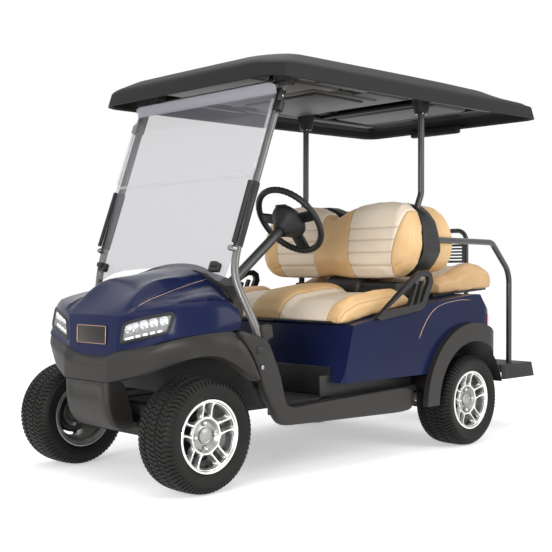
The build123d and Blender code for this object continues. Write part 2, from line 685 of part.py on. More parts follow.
BACKREST_FACE = [
    (0, 1167), (70, 1200), (150, 1230), (330, 1238), (440, 1206), (500, 1110),
    (BACKREST_HALF_WIDTH, 1000), (495, 900), (440, 840), (120, 826), (0, 840),
]
BACKREST_SIDE = [
    (137, 838), (119, 880), (107, 925), (112, 1000), (165, 1180),
    (215, 1236), (292, 1238), (268, 1030), (246, 830),
]
POD_FACE = [
    (0, 1140), (70, 1172), (150, 1204), (330, 1212), (420, 1180), (470, 1090),
    (480, 1000), (466, 905), (420, 850), (120, 846), (0, 856),
]
POD_SIDE = [(248, 840), (270, 1030), (293, 1216), (392, 1216), (400, 1100), (400, 850)]
REAR_BACK_FACE = [
    (0, 1167), (70, 1196), (150, 1222), (300, 1228), (380, 1196), (430, 1100),
    (REAR_BACKREST_HALF_WIDTH, 1010), (425, 915), (380, 862), (120, 850), (0, 860),
]
REAR_BACK_SIDE = [
    (402, 862), (402, 1232), (468, 1228), (560, 1160), (620, 1070), (636, 1010), (600, 920), (540, 868),
]
for name, face, profile in (
    ("backrest_front", BACKREST_FACE, BACKREST_SIDE),
    ("backrest_pod", POD_FACE, POD_SIDE),
    ("backrest_rear", REAR_BACK_FACE, REAR_BACK_SIDE),
):
    with BuildPart() as back:
        with BuildSketch(Plane.YZ):
            Polygon(*profile, align=None)
        extrude(amount=700, both=True)
        with BuildSketch(Plane.XZ):
            Polygon(*symmetric(face), align=None)
        extrude(amount=900, both=True, mode=Mode.INTERSECT)
        if name == "backrest_pod":
            for hand in SIDES.values():
                for route, bend, radius in (
                    (POST_ROUTE, POST_BEND, TUBE_RADIUS), (SIDE_RAIL_ROUTE, SIDE_RAIL_BEND, RAIL_TUBE_RADIUS),
                ):
                    hole = tube(route, bend, radius + TUBE_CLEARANCE)
                    add(hole if hand > 0 else mirrored(hole), mode=Mode.SUBTRACT)
    back.part.label = name
    export_step(back.part, "parts/" + name + ".step")

REAR_CUSHION_FRONT_Z = 758.0
REAR_CUSHION_REAR_Z = 788.0
REAR_SEAT_FRONT_Y = 402.0
REAR_SEAT_REAR_Y = 893.0
with BuildPart() as rear_cushion:
    with BuildSketch(Plane.YZ):
        Polygon(
            (REAR_SEAT_FRONT_Y, REAR_CUSHION_FRONT_Z), (REAR_SEAT_REAR_Y, REAR_CUSHION_REAR_Z),
            (900, 830), (870, 888), (800, 908), (733, 912), (700, 902),
            (640, 876), (560, 846), (470, 838), (408, 822),
            align=None,
        )
    extrude(amount=REAR_SEAT_HALF_WIDTH, both=True)
rear_cushion.part.label = "rear_cushion"
export_step(rear_cushion.part, "parts/rear_cushion.step")

with BuildPart() as rear_seat_base:
    with BuildSketch(Plane.YZ):
        Polygon(
            (REAR_SEAT_FRONT_Y, 741.5), (DECK_REAR_Y, DECK_REAR_Z + 0.5), (628, DECK_REAR_Z + 0.5),
            (REAR_SEAT_REAR_Y - 20, 776), (REAR_SEAT_REAR_Y - 20, 786.3),
            (REAR_SEAT_FRONT_Y, REAR_CUSHION_FRONT_Z - 0.5),
            align=None,
        )
    extrude(amount=REAR_SEAT_HALF_WIDTH - 25, both=True)
rear_seat_base.part.label = "rear_seat_base"
export_step(rear_seat_base.part, "parts/rear_seat_base.step")

with BuildPart() as seat_pod:
    with BuildSketch(Plane.YZ):
        Polygon((168, 719), (168, 780), (190, 812), (300, 812), (318, 790), (318, 733.5), align=None)
    extrude(amount=300, both=True)
seat_pod.part.label = "seat_pod"
export_step(seat_pod.part, "parts/seat_pod.step")

ARMREST_OUTER = [
    (-224, 662), (-190, 652), (100, 690), (132, 706), (196, 822), (186, 862), (150, 880), (100, 876), (60, 858),
]
ARMREST_INNER = [(-165, 690), (90, 722), (110, 732), (164, 828), (154, 848), (112, 850), (76, 834)]
with BuildPart() as armrest:
    with BuildSketch(Plane.YZ.offset(BODY_HALF_WIDTH + FACE_CLEARANCE)):
        Polygon(*ARMREST_OUTER, align=None)
        Polygon(*ARMREST_INNER, align=None, mode=Mode.SUBTRACT)
        for foot, head in (((20, 706), (70, 812)), ((70, 712), (120, 826))):
            with BuildLine():
                Line(foot, head)
            trace(line_width=14)
    extrude(amount=24)
for side, hand in SIDES.items():
    rest = armrest.part if hand > 0 else mirrored(armrest.part)
    rest.label = "armrest_" + side
    export_step(rest, "parts/armrest_" + side + ".step")

# ---------------------------------------------------------------- rear step and grab bar
with BuildPart() as step:
    with BuildSketch(Plane.YZ):
        Polygon(
            (STEP_FRONT_Y, STEP_BOTTOM), (STEP_REAR_Y, STEP_BOTTOM),
            (STEP_REAR_Y - STEP_RAKE, STEP_TOP), (STEP_FRONT_Y, STEP_TOP),
            align=None,
        )
    extrude(amount=STEP_HALF_WIDTH, both=True)
    fillet(step.edges().filter_by(Axis.Z), radius=36)
    with BuildSketch(Plane.YZ):
        Polygon(
            (STEP_FRONT_Y + PANEL_WALL, STEP_BOTTOM - 1), (STEP_REAR_Y - PANEL_WALL, STEP_BOTTOM - 1),
            (STEP_REAR_Y - STEP_RAKE - PANEL_WALL, STEP_TOP - PANEL_WALL),
            (STEP_FRONT_Y + PANEL_WALL, STEP_TOP - PANEL_WALL),
            align=None,
        )
    extrude(amount=STEP_HALF_WIDTH - 12, both=True, mode=Mode.SUBTRACT)
    for hand in SIDES.values():
        with Locations((hand * RAIL_X, STEP_FRONT_Y, 318)):
            Box(RAIL_WIDTH + 1, 20, 46, mode=Mode.SUBTRACT)
        with Locations((hand * RAIL_X, HANGER_Y, (RAIL_TAIL_TOP + STEP_TOP - 2) / 2)):
            Box(RAIL_WIDTH, HANGER_LENGTH, STEP_TOP - 2 - RAIL_TAIL_TOP)
step.part.label = "step"
export_step(step.part, "parts/step.step")

GRAB_HALF_WIDTH = 78.0
GRAB_INSET = 125.0
GRAB_Y = STEP_REAR_Y - GRAB_INSET
GRAB_TOP = 1128.0
GRAB_ROUTE = [
    (-GRAB_HALF_WIDTH, GRAB_Y, STEP_TOP),
    (-GRAB_HALF_WIDTH, GRAB_Y, GRAB_TOP - GRAB_TUBE_RADIUS),
    (GRAB_HALF_WIDTH, GRAB_Y, GRAB_TOP - GRAB_TUBE_RADIUS),
    (GRAB_HALF_WIDTH, GRAB_Y, STEP_TOP),
]
SLAT_PITCH = 18.6
SLAT_Z = 980.0
with BuildPart() as grab_bar:
    add(tube(GRAB_ROUTE, 60, GRAB_TUBE_RADIUS))
    with Locations((0, GRAB_Y, SLAT_Z)):
        Box(2 * GRAB_HALF_WIDTH, 5, 110)
    for slot in range(-2, 3):
        with Locations((0, GRAB_Y, SLAT_Z + SLAT_PITCH * slot)):
            Box(100, 8, 8, mode=Mode.SUBTRACT)
grab_bar.part.label = "grab_bar"
export_step(grab_bar.part, "parts/grab_bar.step")

# ---------------------------------------------------------------- windscreen
SCREEN_BOTTOM_HALF = STRUT_KNEE_X - SCREEN_BOTTOM_GAP
SCREEN_HINGE_HALF = (STRUT_KNEE_X + STRUT_TOP_X) / 2 - SCREEN_HINGE_GAP
SCREEN_TOP_HALF = STRUT_TOP_X - SCREEN_TOP_GAP
PANE_SIDE_CLEARANCE = 0.5
PANE_FACE_CLEARANCE = 0.2
LEAN = radians(SCREEN_LEAN)
SCREEN_PLANE = Plane(
    origin=(0, SCREEN_HINGE_Y, SCREEN_HINGE_Z), x_dir=(1, 0, 0), z_dir=(0, -cos(LEAN), sin(LEAN)),
)
for name, base, head, low_half, high_half in (
    ("windscreen_lower", -SCREEN_LOWER_LENGTH, -SCREEN_FOLD_GAP / 2, SCREEN_BOTTOM_HALF, SCREEN_HINGE_HALF),
    ("windscreen_upper", SCREEN_FOLD_GAP / 2, SCREEN_UPPER_LENGTH, SCREEN_HINGE_HALF, SCREEN_TOP_HALF),
):
    with BuildPart() as pane:
        with BuildSketch(SCREEN_PLANE):
            Polygon((-low_half, base), (low_half, base), (high_half, head), (-high_half, head), align=None)
            if name == "windscreen_lower":
                with Locations((0, base)):
                    Ellipse(low_half - 60, 26, mode=Mode.SUBTRACT)
        extrude(amount=SCREEN_THICKNESS / 2, both=True)
    pane.part.label = name
    export_step(pane.part, "parts/" + name + ".step")

with BuildPart() as channel:
    with BuildSketch(SCREEN_PLANE):
        Polygon(
            (SCREEN_BOTTOM_HALF + 18, -CHANNEL_LENGTH),
            (SCREEN_BOTTOM_HALF + 18 + CHANNEL_WIDTH, -CHANNEL_LENGTH),
            (SCREEN_TOP_HALF + 6 + CHANNEL_WIDTH / 2, SCREEN_UPPER_LENGTH),
            (SCREEN_TOP_HALF - 10, SCREEN_UPPER_LENGTH),
            align=None,
        )
    extrude(amount=CHANNEL_DEPTH / 2, both=True)
    with BuildSketch(SCREEN_PLANE):
        Polygon(
            (0, -SCREEN_LOWER_LENGTH),
            (SCREEN_BOTTOM_HALF + PANE_SIDE_CLEARANCE, -SCREEN_LOWER_LENGTH),
            (SCREEN_HINGE_HALF + PANE_SIDE_CLEARANCE, 0),
            (SCREEN_TOP_HALF + PANE_SIDE_CLEARANCE, SCREEN_UPPER_LENGTH),
            (0, SCREEN_UPPER_LENGTH + 1),
            align=None,
        )
    extrude(amount=SCREEN_THICKNESS / 2 + PANE_FACE_CLEARANCE, both=True, mode=Mode.SUBTRACT)
    add(clear_strut.part, mode=Mode.SUBTRACT)
for side, hand in SIDES.items():
    strip = channel.part if hand > 0 else mirrored(channel.part)
    strip.label = "screen_channel_" + side
    export_step(strip, "parts/screen_channel_" + side + ".step")

# ---------------------------------------------------------------- roof
ROOF_PLAN = [
    (0, ROOF_FRONT_Y), (420, ROOF_FRONT_Y + 12), (ROOF_HALF_WIDTH - 40, ROOF_FRONT_Y + 68),
    (ROOF_HALF_WIDTH, ROOF_FRONT_Y + 168), (ROOF_HALF_WIDTH, ROOF_REAR_Y - 95),
    (ROOF_HALF_WIDTH - 60, ROOF_REAR_Y - 15), (0, ROOF_REAR_Y),
]
ROOF_TOP_LINE = [
    (ROOF_FRONT_Y, 1745), (ROOF_FRONT_Y + 38, 1775), (-651, 1790), (23, 1812),
    (600, 1812), (872, 1800), (ROOF_REAR_Y - 75, 1768), (ROOF_REAR_Y, 1748),
]
ROOF_UNDER_LINE = [(ROOF_REAR_Y, 1703), (-9, 1677), (-678, 1668), (ROOF_FRONT_Y, 1665)]
ROOF_CROWN = [
    (0, 1830), (300, 1822), (ROOF_HALF_WIDTH - 80, 1798), (ROOF_HALF_WIDTH - 25, 1770),
    (ROOF_HALF_WIDTH - 8, 1730), (ROOF_HALF_WIDTH, 1690), (ROOF_HALF_WIDTH, 1600),
]
BOSS_RADIUS = 34.0
STRUT_BOSS_LOW = 1652.0
STRUT_BOSS_TOP = 1782.0
POST_BOSS_LOW = 1662.0
POST_BOSS_TOP = 1805.0


def roof_form(inset):
    """Solid roof outline: plan, side line and crown cut from one another."""
    with BuildPart() as form:
        with BuildSketch(Plane.XY.offset(1600)) as plan:
            Polygon(*symmetric(ROOF_PLAN), align=None)
            fillet([corner for corner in plan.vertices() if abs(corner.X) > 430], radius=ROOF_CORNER)
            if inset:
                offset(amount=-inset, kind=Kind.INTERSECTION)
        extrude(amount=300)
        with BuildSketch(Plane.YZ):
            Polygon(*ROOF_TOP_LINE, *ROOF_UNDER_LINE, align=None)
            if inset:
                offset(amount=-inset, kind=Kind.INTERSECTION)
                Polygon(
                    (ROOF_FRONT_Y + inset, 1600), (ROOF_FRONT_Y + inset, 1700),
                    (ROOF_REAR_Y - inset, 1710), (ROOF_REAR_Y - inset, 1600),
                    align=None,
                )
        extrude(amount=700, both=True, mode=Mode.INTERSECT)
        with BuildSketch(Plane.XZ):
            Polygon(*symmetric(ROOF_CROWN), align=None)
            if inset:
                offset(amount=-inset, kind=Kind.INTERSECTION)
        extrude(amount=1500, both=True, mode=Mode.INTERSECT)
    return form.part


with BuildPart() as roof:
    add(roof_form(0))
    add(roof_form(ROOF_WALL), mode=Mode.SUBTRACT)
    for hand in SIDES.values():
        for boss_x, boss_y, low, high in (
            (STRUT_TOP_X, STRUT_TOP_Y, STRUT_BOSS_LOW, STRUT_BOSS_TOP),
            (REAR_POST_X, REAR_POST_Y, POST_BOSS_LOW, POST_BOSS_TOP),
        ):
            with Locations((hand * boss_x, boss_y, (low + high) / 2)):
                Cylinder(BOSS_RADIUS, high - low)
        for route, bend in ((STRUT_ROUTE, STRUT_BEND), (POST_ROUTE, POST_BEND)):
            socket = tube(route, bend, TUBE_RADIUS + SPINDLE_CLEARANCE)
            add(socket if hand > 0 else mirrored(socket), mode=Mode.SUBTRACT)
roof.part.label = "roof"
export_step(roof.part, "parts/roof.step")

# ---------------------------------------------------------------- wheels, built about the X axis, outer face towards +X
BEAD_HALF = RIM_WIDTH / 2 - 12
RIM_PROFILE = [
    (RIM_WIDTH / 2, RIM_LIP_RADIUS - 12), (RIM_WIDTH / 2, RIM_LIP_RADIUS), (RIM_WIDTH / 2 - 8, RIM_LIP_RADIUS),
    (BEAD_HALF, RIM_SEAT_RADIUS), (40, RIM_SEAT_RADIUS), (22, RIM_SEAT_RADIUS - 19), (-28, RIM_SEAT_RADIUS - 19),
    (-46, RIM_SEAT_RADIUS), (-BEAD_HALF, RIM_SEAT_RADIUS), (-RIM_WIDTH / 2 + 8, RIM_LIP_RADIUS),
    (-RIM_WIDTH / 2, RIM_LIP_RADIUS), (-RIM_WIDTH / 2, RIM_LIP_RADIUS - 6),
    (-BEAD_HALF - 2, RIM_SEAT_RADIUS - RIM_WALL), (-44, RIM_SEAT_RADIUS - RIM_WALL),
    (-26, RIM_SEAT_RADIUS - 19 - RIM_WALL), (20, RIM_SEAT_RADIUS - 19 - RIM_WALL),
    (38, RIM_SEAT_RADIUS - RIM_WALL), (BEAD_HALF - 2, RIM_SEAT_RADIUS - RIM_WALL),
]
DISC_FACE_X = RIM_WIDTH / 2 - 12
HUB_FACE_X = DISC_FACE_X - SPOKE_DISH
PAIR_ANGLE = 360.0 / SPOKE_PAIRS
FIRST_PAIR = 18.0


def polar(radius, angle):
    """Point on a circle about the wheel's axis, at an angle in degrees."""
    return (radius * cos(radians(angle)), radius * sin(radians(angle)))


with BuildPart() as rim:
    with BuildSketch(Plane.XY):
        Polygon(*RIM_PROFILE, align=None)
    revolve(axis=Axis.X)
    with BuildSketch(Plane.XY) as disc:
        Polygon(
            (HUB_FACE_X, HUB_BORE_RADIUS), (HUB_FACE_X, HUB_DISC_RADIUS - 6), (HUB_FACE_X + 4, HUB_DISC_RADIUS + 4),
            (DISC_FACE_X, SPOKE_DISC_RADIUS - 8), (DISC_FACE_X, SPOKE_DISC_RADIUS - 4),
            (DISC_FACE_X - SPOKE_DISC_WALL, SPOKE_DISC_RADIUS - 4),
            (HUB_FACE_X - SPOKE_DISC_WALL, HUB_DISC_RADIUS - 4), (HUB_FACE_X - SPOKE_DISC_WALL, 40),
            (HUB_FACE_X - HUB_LENGTH, 34), (HUB_FACE_X - HUB_LENGTH, HUB_BORE_RADIUS),
            align=None,
        )
    revolve(axis=Axis.X)
    for pair in range(SPOKE_PAIRS):
        centre = FIRST_PAIR + PAIR_ANGLE * pair
        wide = centre + PAIR_ANGLE / 2
        with BuildSketch(Plane.YZ.offset(HUB_FACE_X - SPOKE_DISC_WALL - 30)):
            Polygon(
                polar(74, wide - 8), polar(116, wide - 18), polar(119, wide), polar(116, wide + 18), polar(74, wide + 8),
                align=None,
            )
            Polygon(polar(70, centre - 3), polar(113, centre - 6), polar(113, centre + 6), polar(70, centre + 3), align=None)
        extrude(amount=90, mode=Mode.SUBTRACT)
    with BuildSketch(Plane.YZ.offset(HUB_FACE_X - 6)):
        with PolarLocations(LUG_CIRCLE_RADIUS, LUG_COUNT, start_angle=45):
            Circle(LUG_SEAT_RADIUS)
    extrude(amount=20, mode=Mode.SUBTRACT)
    with BuildSketch(Plane.YZ.offset(HUB_FACE_X - 6)):
        with PolarLocations(LUG_CIRCLE_RADIUS, LUG_COUNT, start_angle=45):
            RegularPolygon(radius=10, side_count=6)
    extrude(amount=12)
    with BuildSketch(Plane.YZ.offset(HUB_FACE_X)):
        Circle(CENTRE_CAP_RADIUS)
    extrude(amount=9, taper=12)

with BuildPart() as tyre:
    with BuildSketch(Plane.XY):
        with BuildLine():
            half = TYRE_WIDTH / 2
            Line((-half + 26, TYRE_RADIUS - 4), (-half + 60, TYRE_RADIUS))
            Line((-half + 60, TYRE_RADIUS), (half - 60, TYRE_RADIUS))
            Line((half - 60, TYRE_RADIUS), (half - 26, TYRE_RADIUS - 4))
            Line((half - 26, TYRE_RADIUS - 4), (half - 8, TYRE_RADIUS - 15))
            Line((half - 8, TYRE_RADIUS - 15), (half, TYRE_RADIUS - 40))
            Line((half, TYRE_RADIUS - 40), (half - 4, 168))
            Line((half - 4, 168), (BEAD_HALF + 2, RIM_LIP_RADIUS + 1))
            Line((BEAD_HALF + 2, RIM_LIP_RADIUS + 1), (BEAD_HALF - 1, RIM_SEAT_RADIUS))
            Line((BEAD_HALF - 1, RIM_SEAT_RADIUS), (BEAD_HALF - 14, RIM_SEAT_RADIUS))
            Line((BEAD_HALF - 14, RIM_SEAT_RADIUS), (half - TYRE_WALL - 4, 170))
            Line((half - TYRE_WALL - 4, 170), (half - TYRE_WALL, TYRE_RADIUS - 42))
            Line((half - TYRE_WALL, TYRE_RADIUS - 42), (half - 34, TYRE_RADIUS - 4 - TYRE_WALL))
            Line((half - 34, TYRE_RADIUS - 4 - TYRE_WALL), (-half + 34, TYRE_RADIUS - 4 - TYRE_WALL))
            Line((-half + 34, TYRE_RADIUS - 4 - TYRE_WALL), (-half + TYRE_WALL, TYRE_RADIUS - 42))
            Line((-half + TYRE_WALL, TYRE_RADIUS - 42), (-half + TYRE_WALL + 4, 170))
            Line((-half + TYRE_WALL + 4, 170), (-BEAD_HALF + 14, RIM_SEAT_RADIUS))
            Line((-BEAD_HALF + 14, RIM_SEAT_RADIUS), (-BEAD_HALF + 1, RIM_SEAT_RADIUS))
            Line((-BEAD_HALF + 1, RIM_SEAT_RADIUS), (-BEAD_HALF - 2, RIM_LIP_RADIUS + 1))
            Line((-BEAD_HALF - 2, RIM_LIP_RADIUS + 1), (-half + 4, 168))
            Line((-half + 4, 168), (-half, TYRE_RADIUS - 40))
            Line((-half, TYRE_RADIUS - 40), (-half + 8, TYRE_RADIUS - 15))
            Line((-half + 8, TYRE_RADIUS - 15), (-half + 26, TYRE_RADIUS - 4))
        make_face()
    revolve(axis=Axis.X)

AXLES = {"front": (FRONT_AXLE_Y, FRONT_TRACK / 2), "rear": (REAR_AXLE_Y, REAR_TRACK / 2)}
for end, (axle_y, half_track) in AXLES.items():
    for side, hand in SIDES.items():
        for name, source in (("rim", rim.part), ("tyre", tyre.part)):
            turned = source if hand > 0 else source.rotate(Axis.Z, 180)
            placed = Pos(hand * half_track, axle_y, TYRE_RADIUS) * turned
            placed.label = name + "_" + end + "_" + side
            export_step(placed, "parts/" + name + "_" + end + "_" + side + ".step")

# ---------------------------------------------------------------- front axle, knuckles and steering
SPINDLE_RADIUS = HUB_BORE_RADIUS - SPINDLE_CLEARANCE
FRONT_HUB_X = FRONT_TRACK / 2 + HUB_FACE_X
SPINDLE_ROOT_X = FRONT_HUB_X - HUB_LENGTH - 2
EAR_GAP = 90.0
EAR_THICKNESS = 16.0
EAR_CLEARANCE = 1.0
YOKE_X = KINGPIN_X - 45
AXLE_Z = TYRE_RADIUS
RACK_Y = FRONT_AXLE_Y + STEER_ARM_REACH
RACK_Z = 186.0
RACK_RADIUS = 9.0
RACK_HOUSING_HALF = 190.0
with BuildPart() as front_axle:
    with Locations((0, FRONT_AXLE_Y, AXLE_Z - 20)):
        Box(2 * YOKE_X, 56, 44)
    with Locations((0, FRONT_AXLE_Y, (AXLE_Z + 2 + RAIL_BOTTOM_FRONT) / 2)):
        Box(2 * RAIL_X + RAIL_WIDTH, 56, RAIL_BOTTOM_FRONT - AXLE_Z - 2)
    for hand in SIDES.values():
        with Locations((hand * (YOKE_X - 9), FRONT_AXLE_Y, AXLE_Z)):
            Box(18, 56, EAR_GAP + 2 * EAR_THICKNESS)
        for ear in (-1, 1):
            ear_z = AXLE_Z + ear * (EAR_GAP + EAR_THICKNESS) / 2
            with Locations((hand * (YOKE_X + KINGPIN_X - 18) / 2, FRONT_AXLE_Y, ear_z)):
                Box(KINGPIN_X - YOKE_X + 18, 44, EAR_THICKNESS)
            with Locations((hand * KINGPIN_X, FRONT_AXLE_Y, ear_z)):
                Cylinder(22, EAR_THICKNESS)
                Cylinder(KINGPIN_RADIUS + SPINDLE_CLEARANCE, EAR_THICKNESS + 2, mode=Mode.SUBTRACT)
    with BuildSketch(Plane.YZ.offset(-RACK_HOUSING_HALF)):
        with Locations((RACK_Y, RACK_Z)):
            Circle(22)
    extrude(amount=2 * RACK_HOUSING_HALF)
    for hand in SIDES.values():
        with Locations((hand * RAIL_X, (RACK_Y + FRONT_AXLE_Y) / 2, (RACK_Z + 10 + RAIL_BOTTOM_FRONT) / 2)):
            Box(RAIL_WIDTH, RACK_Y - FRONT_AXLE_Y + 30, RAIL_BOTTOM_FRONT - RACK_Z - 10)
    with BuildSketch(Plane.YZ.offset(-RACK_HOUSING_HALF)):
        with Locations((RACK_Y, RACK_Z)):
            Circle(RACK_RADIUS + SPINDLE_CLEARANCE)
    extrude(amount=2 * RACK_HOUSING_HALF, mode=Mode.SUBTRACT)
front_axle.part.label = "front_axle"
export_step(front_axle.part, "parts/front_axle.step")

ARM_Z = AXLE_Z - 18
with BuildPart() as knuckle:
    with Locations((KINGPIN_X, FRONT_AXLE_Y, AXLE_Z)):
        Cylinder(KINGPIN_RADIUS, EAR_GAP + 2 * EAR_THICKNESS)
        Cylinder(21, EAR_GAP - 2 * EAR_CLEARANCE)
    with Locations(((KINGPIN_X + SPINDLE_ROOT_X) / 2, FRONT_AXLE_Y, AXLE_Z)):
        Box(SPINDLE_ROOT_X - KINGPIN_X, 40, 50)
    with BuildSketch(Plane.YZ.offset(SPINDLE_ROOT_X - 12)):
        with Locations((FRONT_AXLE_Y, AXLE_Z)):
            Circle(44)
    extrude(amount=12)
    with BuildSketch(Plane.YZ.offset(SPINDLE_ROOT_X)):
        with Locations((FRONT_AXLE_Y, AXLE_Z)):
            Circle(SPINDLE_RADIUS)
    extrude(amount=HUB_LENGTH)
    with BuildSketch(Plane.XY.offset(ARM_Z)):
        with BuildLine():
            Line(
                (KINGPIN_X, FRONT_AXLE_Y + 12),
                (KINGPIN_X - STEER_ARM_SET_IN, FRONT_AXLE_Y + STEER_ARM_REACH),
            )
        trace(line_width=22)
        with Locations((KINGPIN_X - STEER_ARM_SET_IN, FRONT_AXLE_Y + STEER_ARM_REACH)):
            Circle(16)
            Circle(7, mode=Mode.SUBTRACT)
    extrude(amount=12)
for side, hand in SIDES.items():
    steered = knuckle.part if hand > 0 else mirrored(knuckle.part)
    steered.label = "knuckle_" + side
    export_step(steered, "parts/knuckle_" + side + ".step")

TIE_END_X = KINGPIN_X - STEER_ARM_SET_IN
with BuildPart() as rack:
    with BuildSketch(Plane.YZ.offset(-TIE_END_X)):
        with Locations((RACK_Y, RACK_Z)):
            Circle(RACK_RADIUS)
    extrude(amount=2 * TIE_END_X)
    for hand in SIDES.values():
        with Locations((hand * TIE_END_X, RACK_Y, RACK_Z)):
            Cylinder(13, 2 * RACK_RADIUS)
rack.part.label = "steering_rack"
export_step(rack.part, "parts/steering_rack.step")

TILT = radians(COLUMN_TILT)
COLUMN_PLANE = Plane(origin=(COLUMN_X, WHEEL_HUB_Y, WHEEL_HUB_Z), x_dir=(1, 0, 0), z_dir=(0, cos(TILT), sin(TILT)))
COLUMN_GAP = 22.0
COLUMN_LENGTH = 470.0
with BuildPart() as column:
    with BuildSketch(COLUMN_PLANE.offset(-COLUMN_GAP)):
        Circle(COLUMN_RADIUS)
    extrude(amount=-COLUMN_LENGTH)
    with BuildSketch(COLUMN_PLANE.offset(-COLUMN_GAP)):
        Circle(STEER_SHAFT_RADIUS + SPINDLE_CLEARANCE)
    extrude(amount=-70, mode=Mode.SUBTRACT)
    add(dash.part, mode=Mode.SUBTRACT)
column.part.label = "steering_column"
export_step(column.part, "parts/steering_column.step")

with BuildPart() as steering_wheel:
    with BuildSketch(Plane(origin=COLUMN_PLANE.origin, x_dir=COLUMN_PLANE.x_dir, z_dir=COLUMN_PLANE.y_dir)):
        with Locations((STEER_RIM_RADIUS, -28)):
            Circle(STEER_GRIP_RADIUS)
    revolve(axis=Axis(COLUMN_PLANE.origin, COLUMN_PLANE.z_dir))
    with BuildSketch(COLUMN_PLANE.offset(-16)):
        Circle(46)
    with BuildSketch(COLUMN_PLANE.offset(48)):
        Circle(66)
    loft()
    for angle in (200, 340, 90):
        with BuildSketch(COLUMN_PLANE.offset(18)):
            with BuildLine():
                Line(polar(30, angle), polar(STEER_RIM_RADIUS, angle))
            trace(line_width=34)
        extrude(amount=14)
    with BuildSketch(COLUMN_PLANE.offset(-16)):
        Circle(STEER_SHAFT_RADIUS)
    extrude(amount=-60)
steering_wheel.part.label = "steering_wheel"
export_step(steering_wheel.part, "parts/steering_wheel.step")

with BuildPart() as pedals:
    for pedal_x in (120, 250):
        with BuildSketch(Plane.YZ.offset(pedal_x - 10)):
            Polygon((-800, 325), (-770, 325), (-776, 352), (-806, 470), (-816, 470), (-800, 350), align=None)
        extrude(amount=20)
        with BuildSketch(Plane.YZ.offset(pedal_x - 42)):
            Polygon((-772, 352), (-764, 354), (-800, 478), (-808, 476), align=None)
        extrude(amount=84)
    with Locations((185, -785, FLOOR_TOP + 6.5 + 4)):
        Box(190, 26, 8)
pedals.part.label = "pedals"
export_step(pedals.part, "parts/pedals.step")

# ---------------------------------------------------------------- rear axle, springs, motor and batteries
REAR_HUB_X = REAR_TRACK / 2 + HUB_FACE_X
REAR_SPINDLE_ROOT_X = REAR_HUB_X - HUB_LENGTH - 2
with BuildPart() as rear_axle:
    with BuildSketch(Plane.YZ.offset(-REAR_SPINDLE_ROOT_X)):
        with Locations((REAR_AXLE_Y, AXLE_Z)):
            Circle(AXLE_TUBE_RADIUS)
    extrude(amount=2 * REAR_SPINDLE_ROOT_X)
    with BuildSketch(Plane.YZ.offset(-REAR_SPINDLE_ROOT_X - HUB_LENGTH)):
        with Locations((REAR_AXLE_Y, AXLE_Z)):
            Circle(SPINDLE_RADIUS)
    extrude(amount=2 * (REAR_SPINDLE_ROOT_X + HUB_LENGTH))
    with Locations((0, REAR_AXLE_Y, AXLE_Z)):
        Sphere(86)
rear_axle.part.label = "rear_axle"
export_step(rear_axle.part, "parts/rear_axle.step")

MOTOR_RADIUS = 74.0
with BuildPart() as motor:
    with BuildSketch(Plane.YZ.offset(60)):
        with Locations((REAR_AXLE_Y + 135, 246)):
            Circle(MOTOR_RADIUS)
    extrude(amount=200)
    with Locations((30, REAR_AXLE_Y + 80, 240)):
        Box(60, 190, 120)
    add(rear_axle.part, mode=Mode.SUBTRACT)
motor.part.label = "motor"
export_step(motor.part, "parts/motor.step")

LEAF_SAG_Z = AXLE_Z - AXLE_TUBE_RADIUS - SPRING_LEAF
with BuildPart() as spring:
    with BuildSketch(Plane.YZ.offset(SPRING_X - SPRING_WIDTH / 2)):
        with BuildLine():
            Polyline((SPRING_FRONT_Y, SPRING_EYE_Z - SPRING_EYE_RADIUS), (REAR_AXLE_Y - 90, LEAF_SAG_Z + 4),
                     (REAR_AXLE_Y + 90, LEAF_SAG_Z + 4), (SPRING_REAR_Y, SPRING_EYE_Z - SPRING_EYE_RADIUS))
        trace(line_width=SPRING_LEAF)
        for eye_y in (SPRING_FRONT_Y, SPRING_REAR_Y):
            with Locations((eye_y, SPRING_EYE_Z)):
                Circle(SPRING_EYE_RADIUS)
                Circle(8, mode=Mode.SUBTRACT)
        with Locations((REAR_AXLE_Y, LEAF_SAG_Z - 8)):
            Rectangle(150, 16)
    extrude(amount=SPRING_WIDTH)
for side, hand in SIDES.items():
    leaf = spring.part if hand > 0 else mirrored(spring.part)
    leaf.label = "leaf_spring_" + side
    export_step(leaf, "parts/leaf_spring_" + side + ".step")

with BuildPart() as batteries:
    with Locations((0, -130, FLOOR_TOP + 0.5 + 132)):
        Box(640, 430, 264)
batteries.part.label = "batteries"
export_step(batteries.part, "parts/batteries.step")
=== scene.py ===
import json
from contextlib import contextmanager
from math import atan2, cos, exp, hypot, pi, radians, sin

import bmesh
import bpy
from mathutils import Matrix, Vector
from mathutils.bvhtree import BVHTree


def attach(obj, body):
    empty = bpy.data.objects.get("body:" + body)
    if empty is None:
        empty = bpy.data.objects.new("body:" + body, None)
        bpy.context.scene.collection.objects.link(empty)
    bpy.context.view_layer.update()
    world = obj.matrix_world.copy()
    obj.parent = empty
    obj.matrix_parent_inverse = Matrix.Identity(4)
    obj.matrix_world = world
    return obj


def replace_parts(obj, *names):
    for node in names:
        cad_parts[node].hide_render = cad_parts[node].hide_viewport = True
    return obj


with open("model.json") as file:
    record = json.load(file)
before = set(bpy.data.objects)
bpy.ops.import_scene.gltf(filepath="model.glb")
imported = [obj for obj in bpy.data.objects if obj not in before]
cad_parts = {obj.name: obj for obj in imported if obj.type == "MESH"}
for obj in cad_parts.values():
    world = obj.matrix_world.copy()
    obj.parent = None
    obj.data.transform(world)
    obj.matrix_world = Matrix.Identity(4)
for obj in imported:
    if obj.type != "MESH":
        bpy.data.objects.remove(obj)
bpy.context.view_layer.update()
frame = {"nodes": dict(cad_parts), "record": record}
nodes = frame["nodes"]

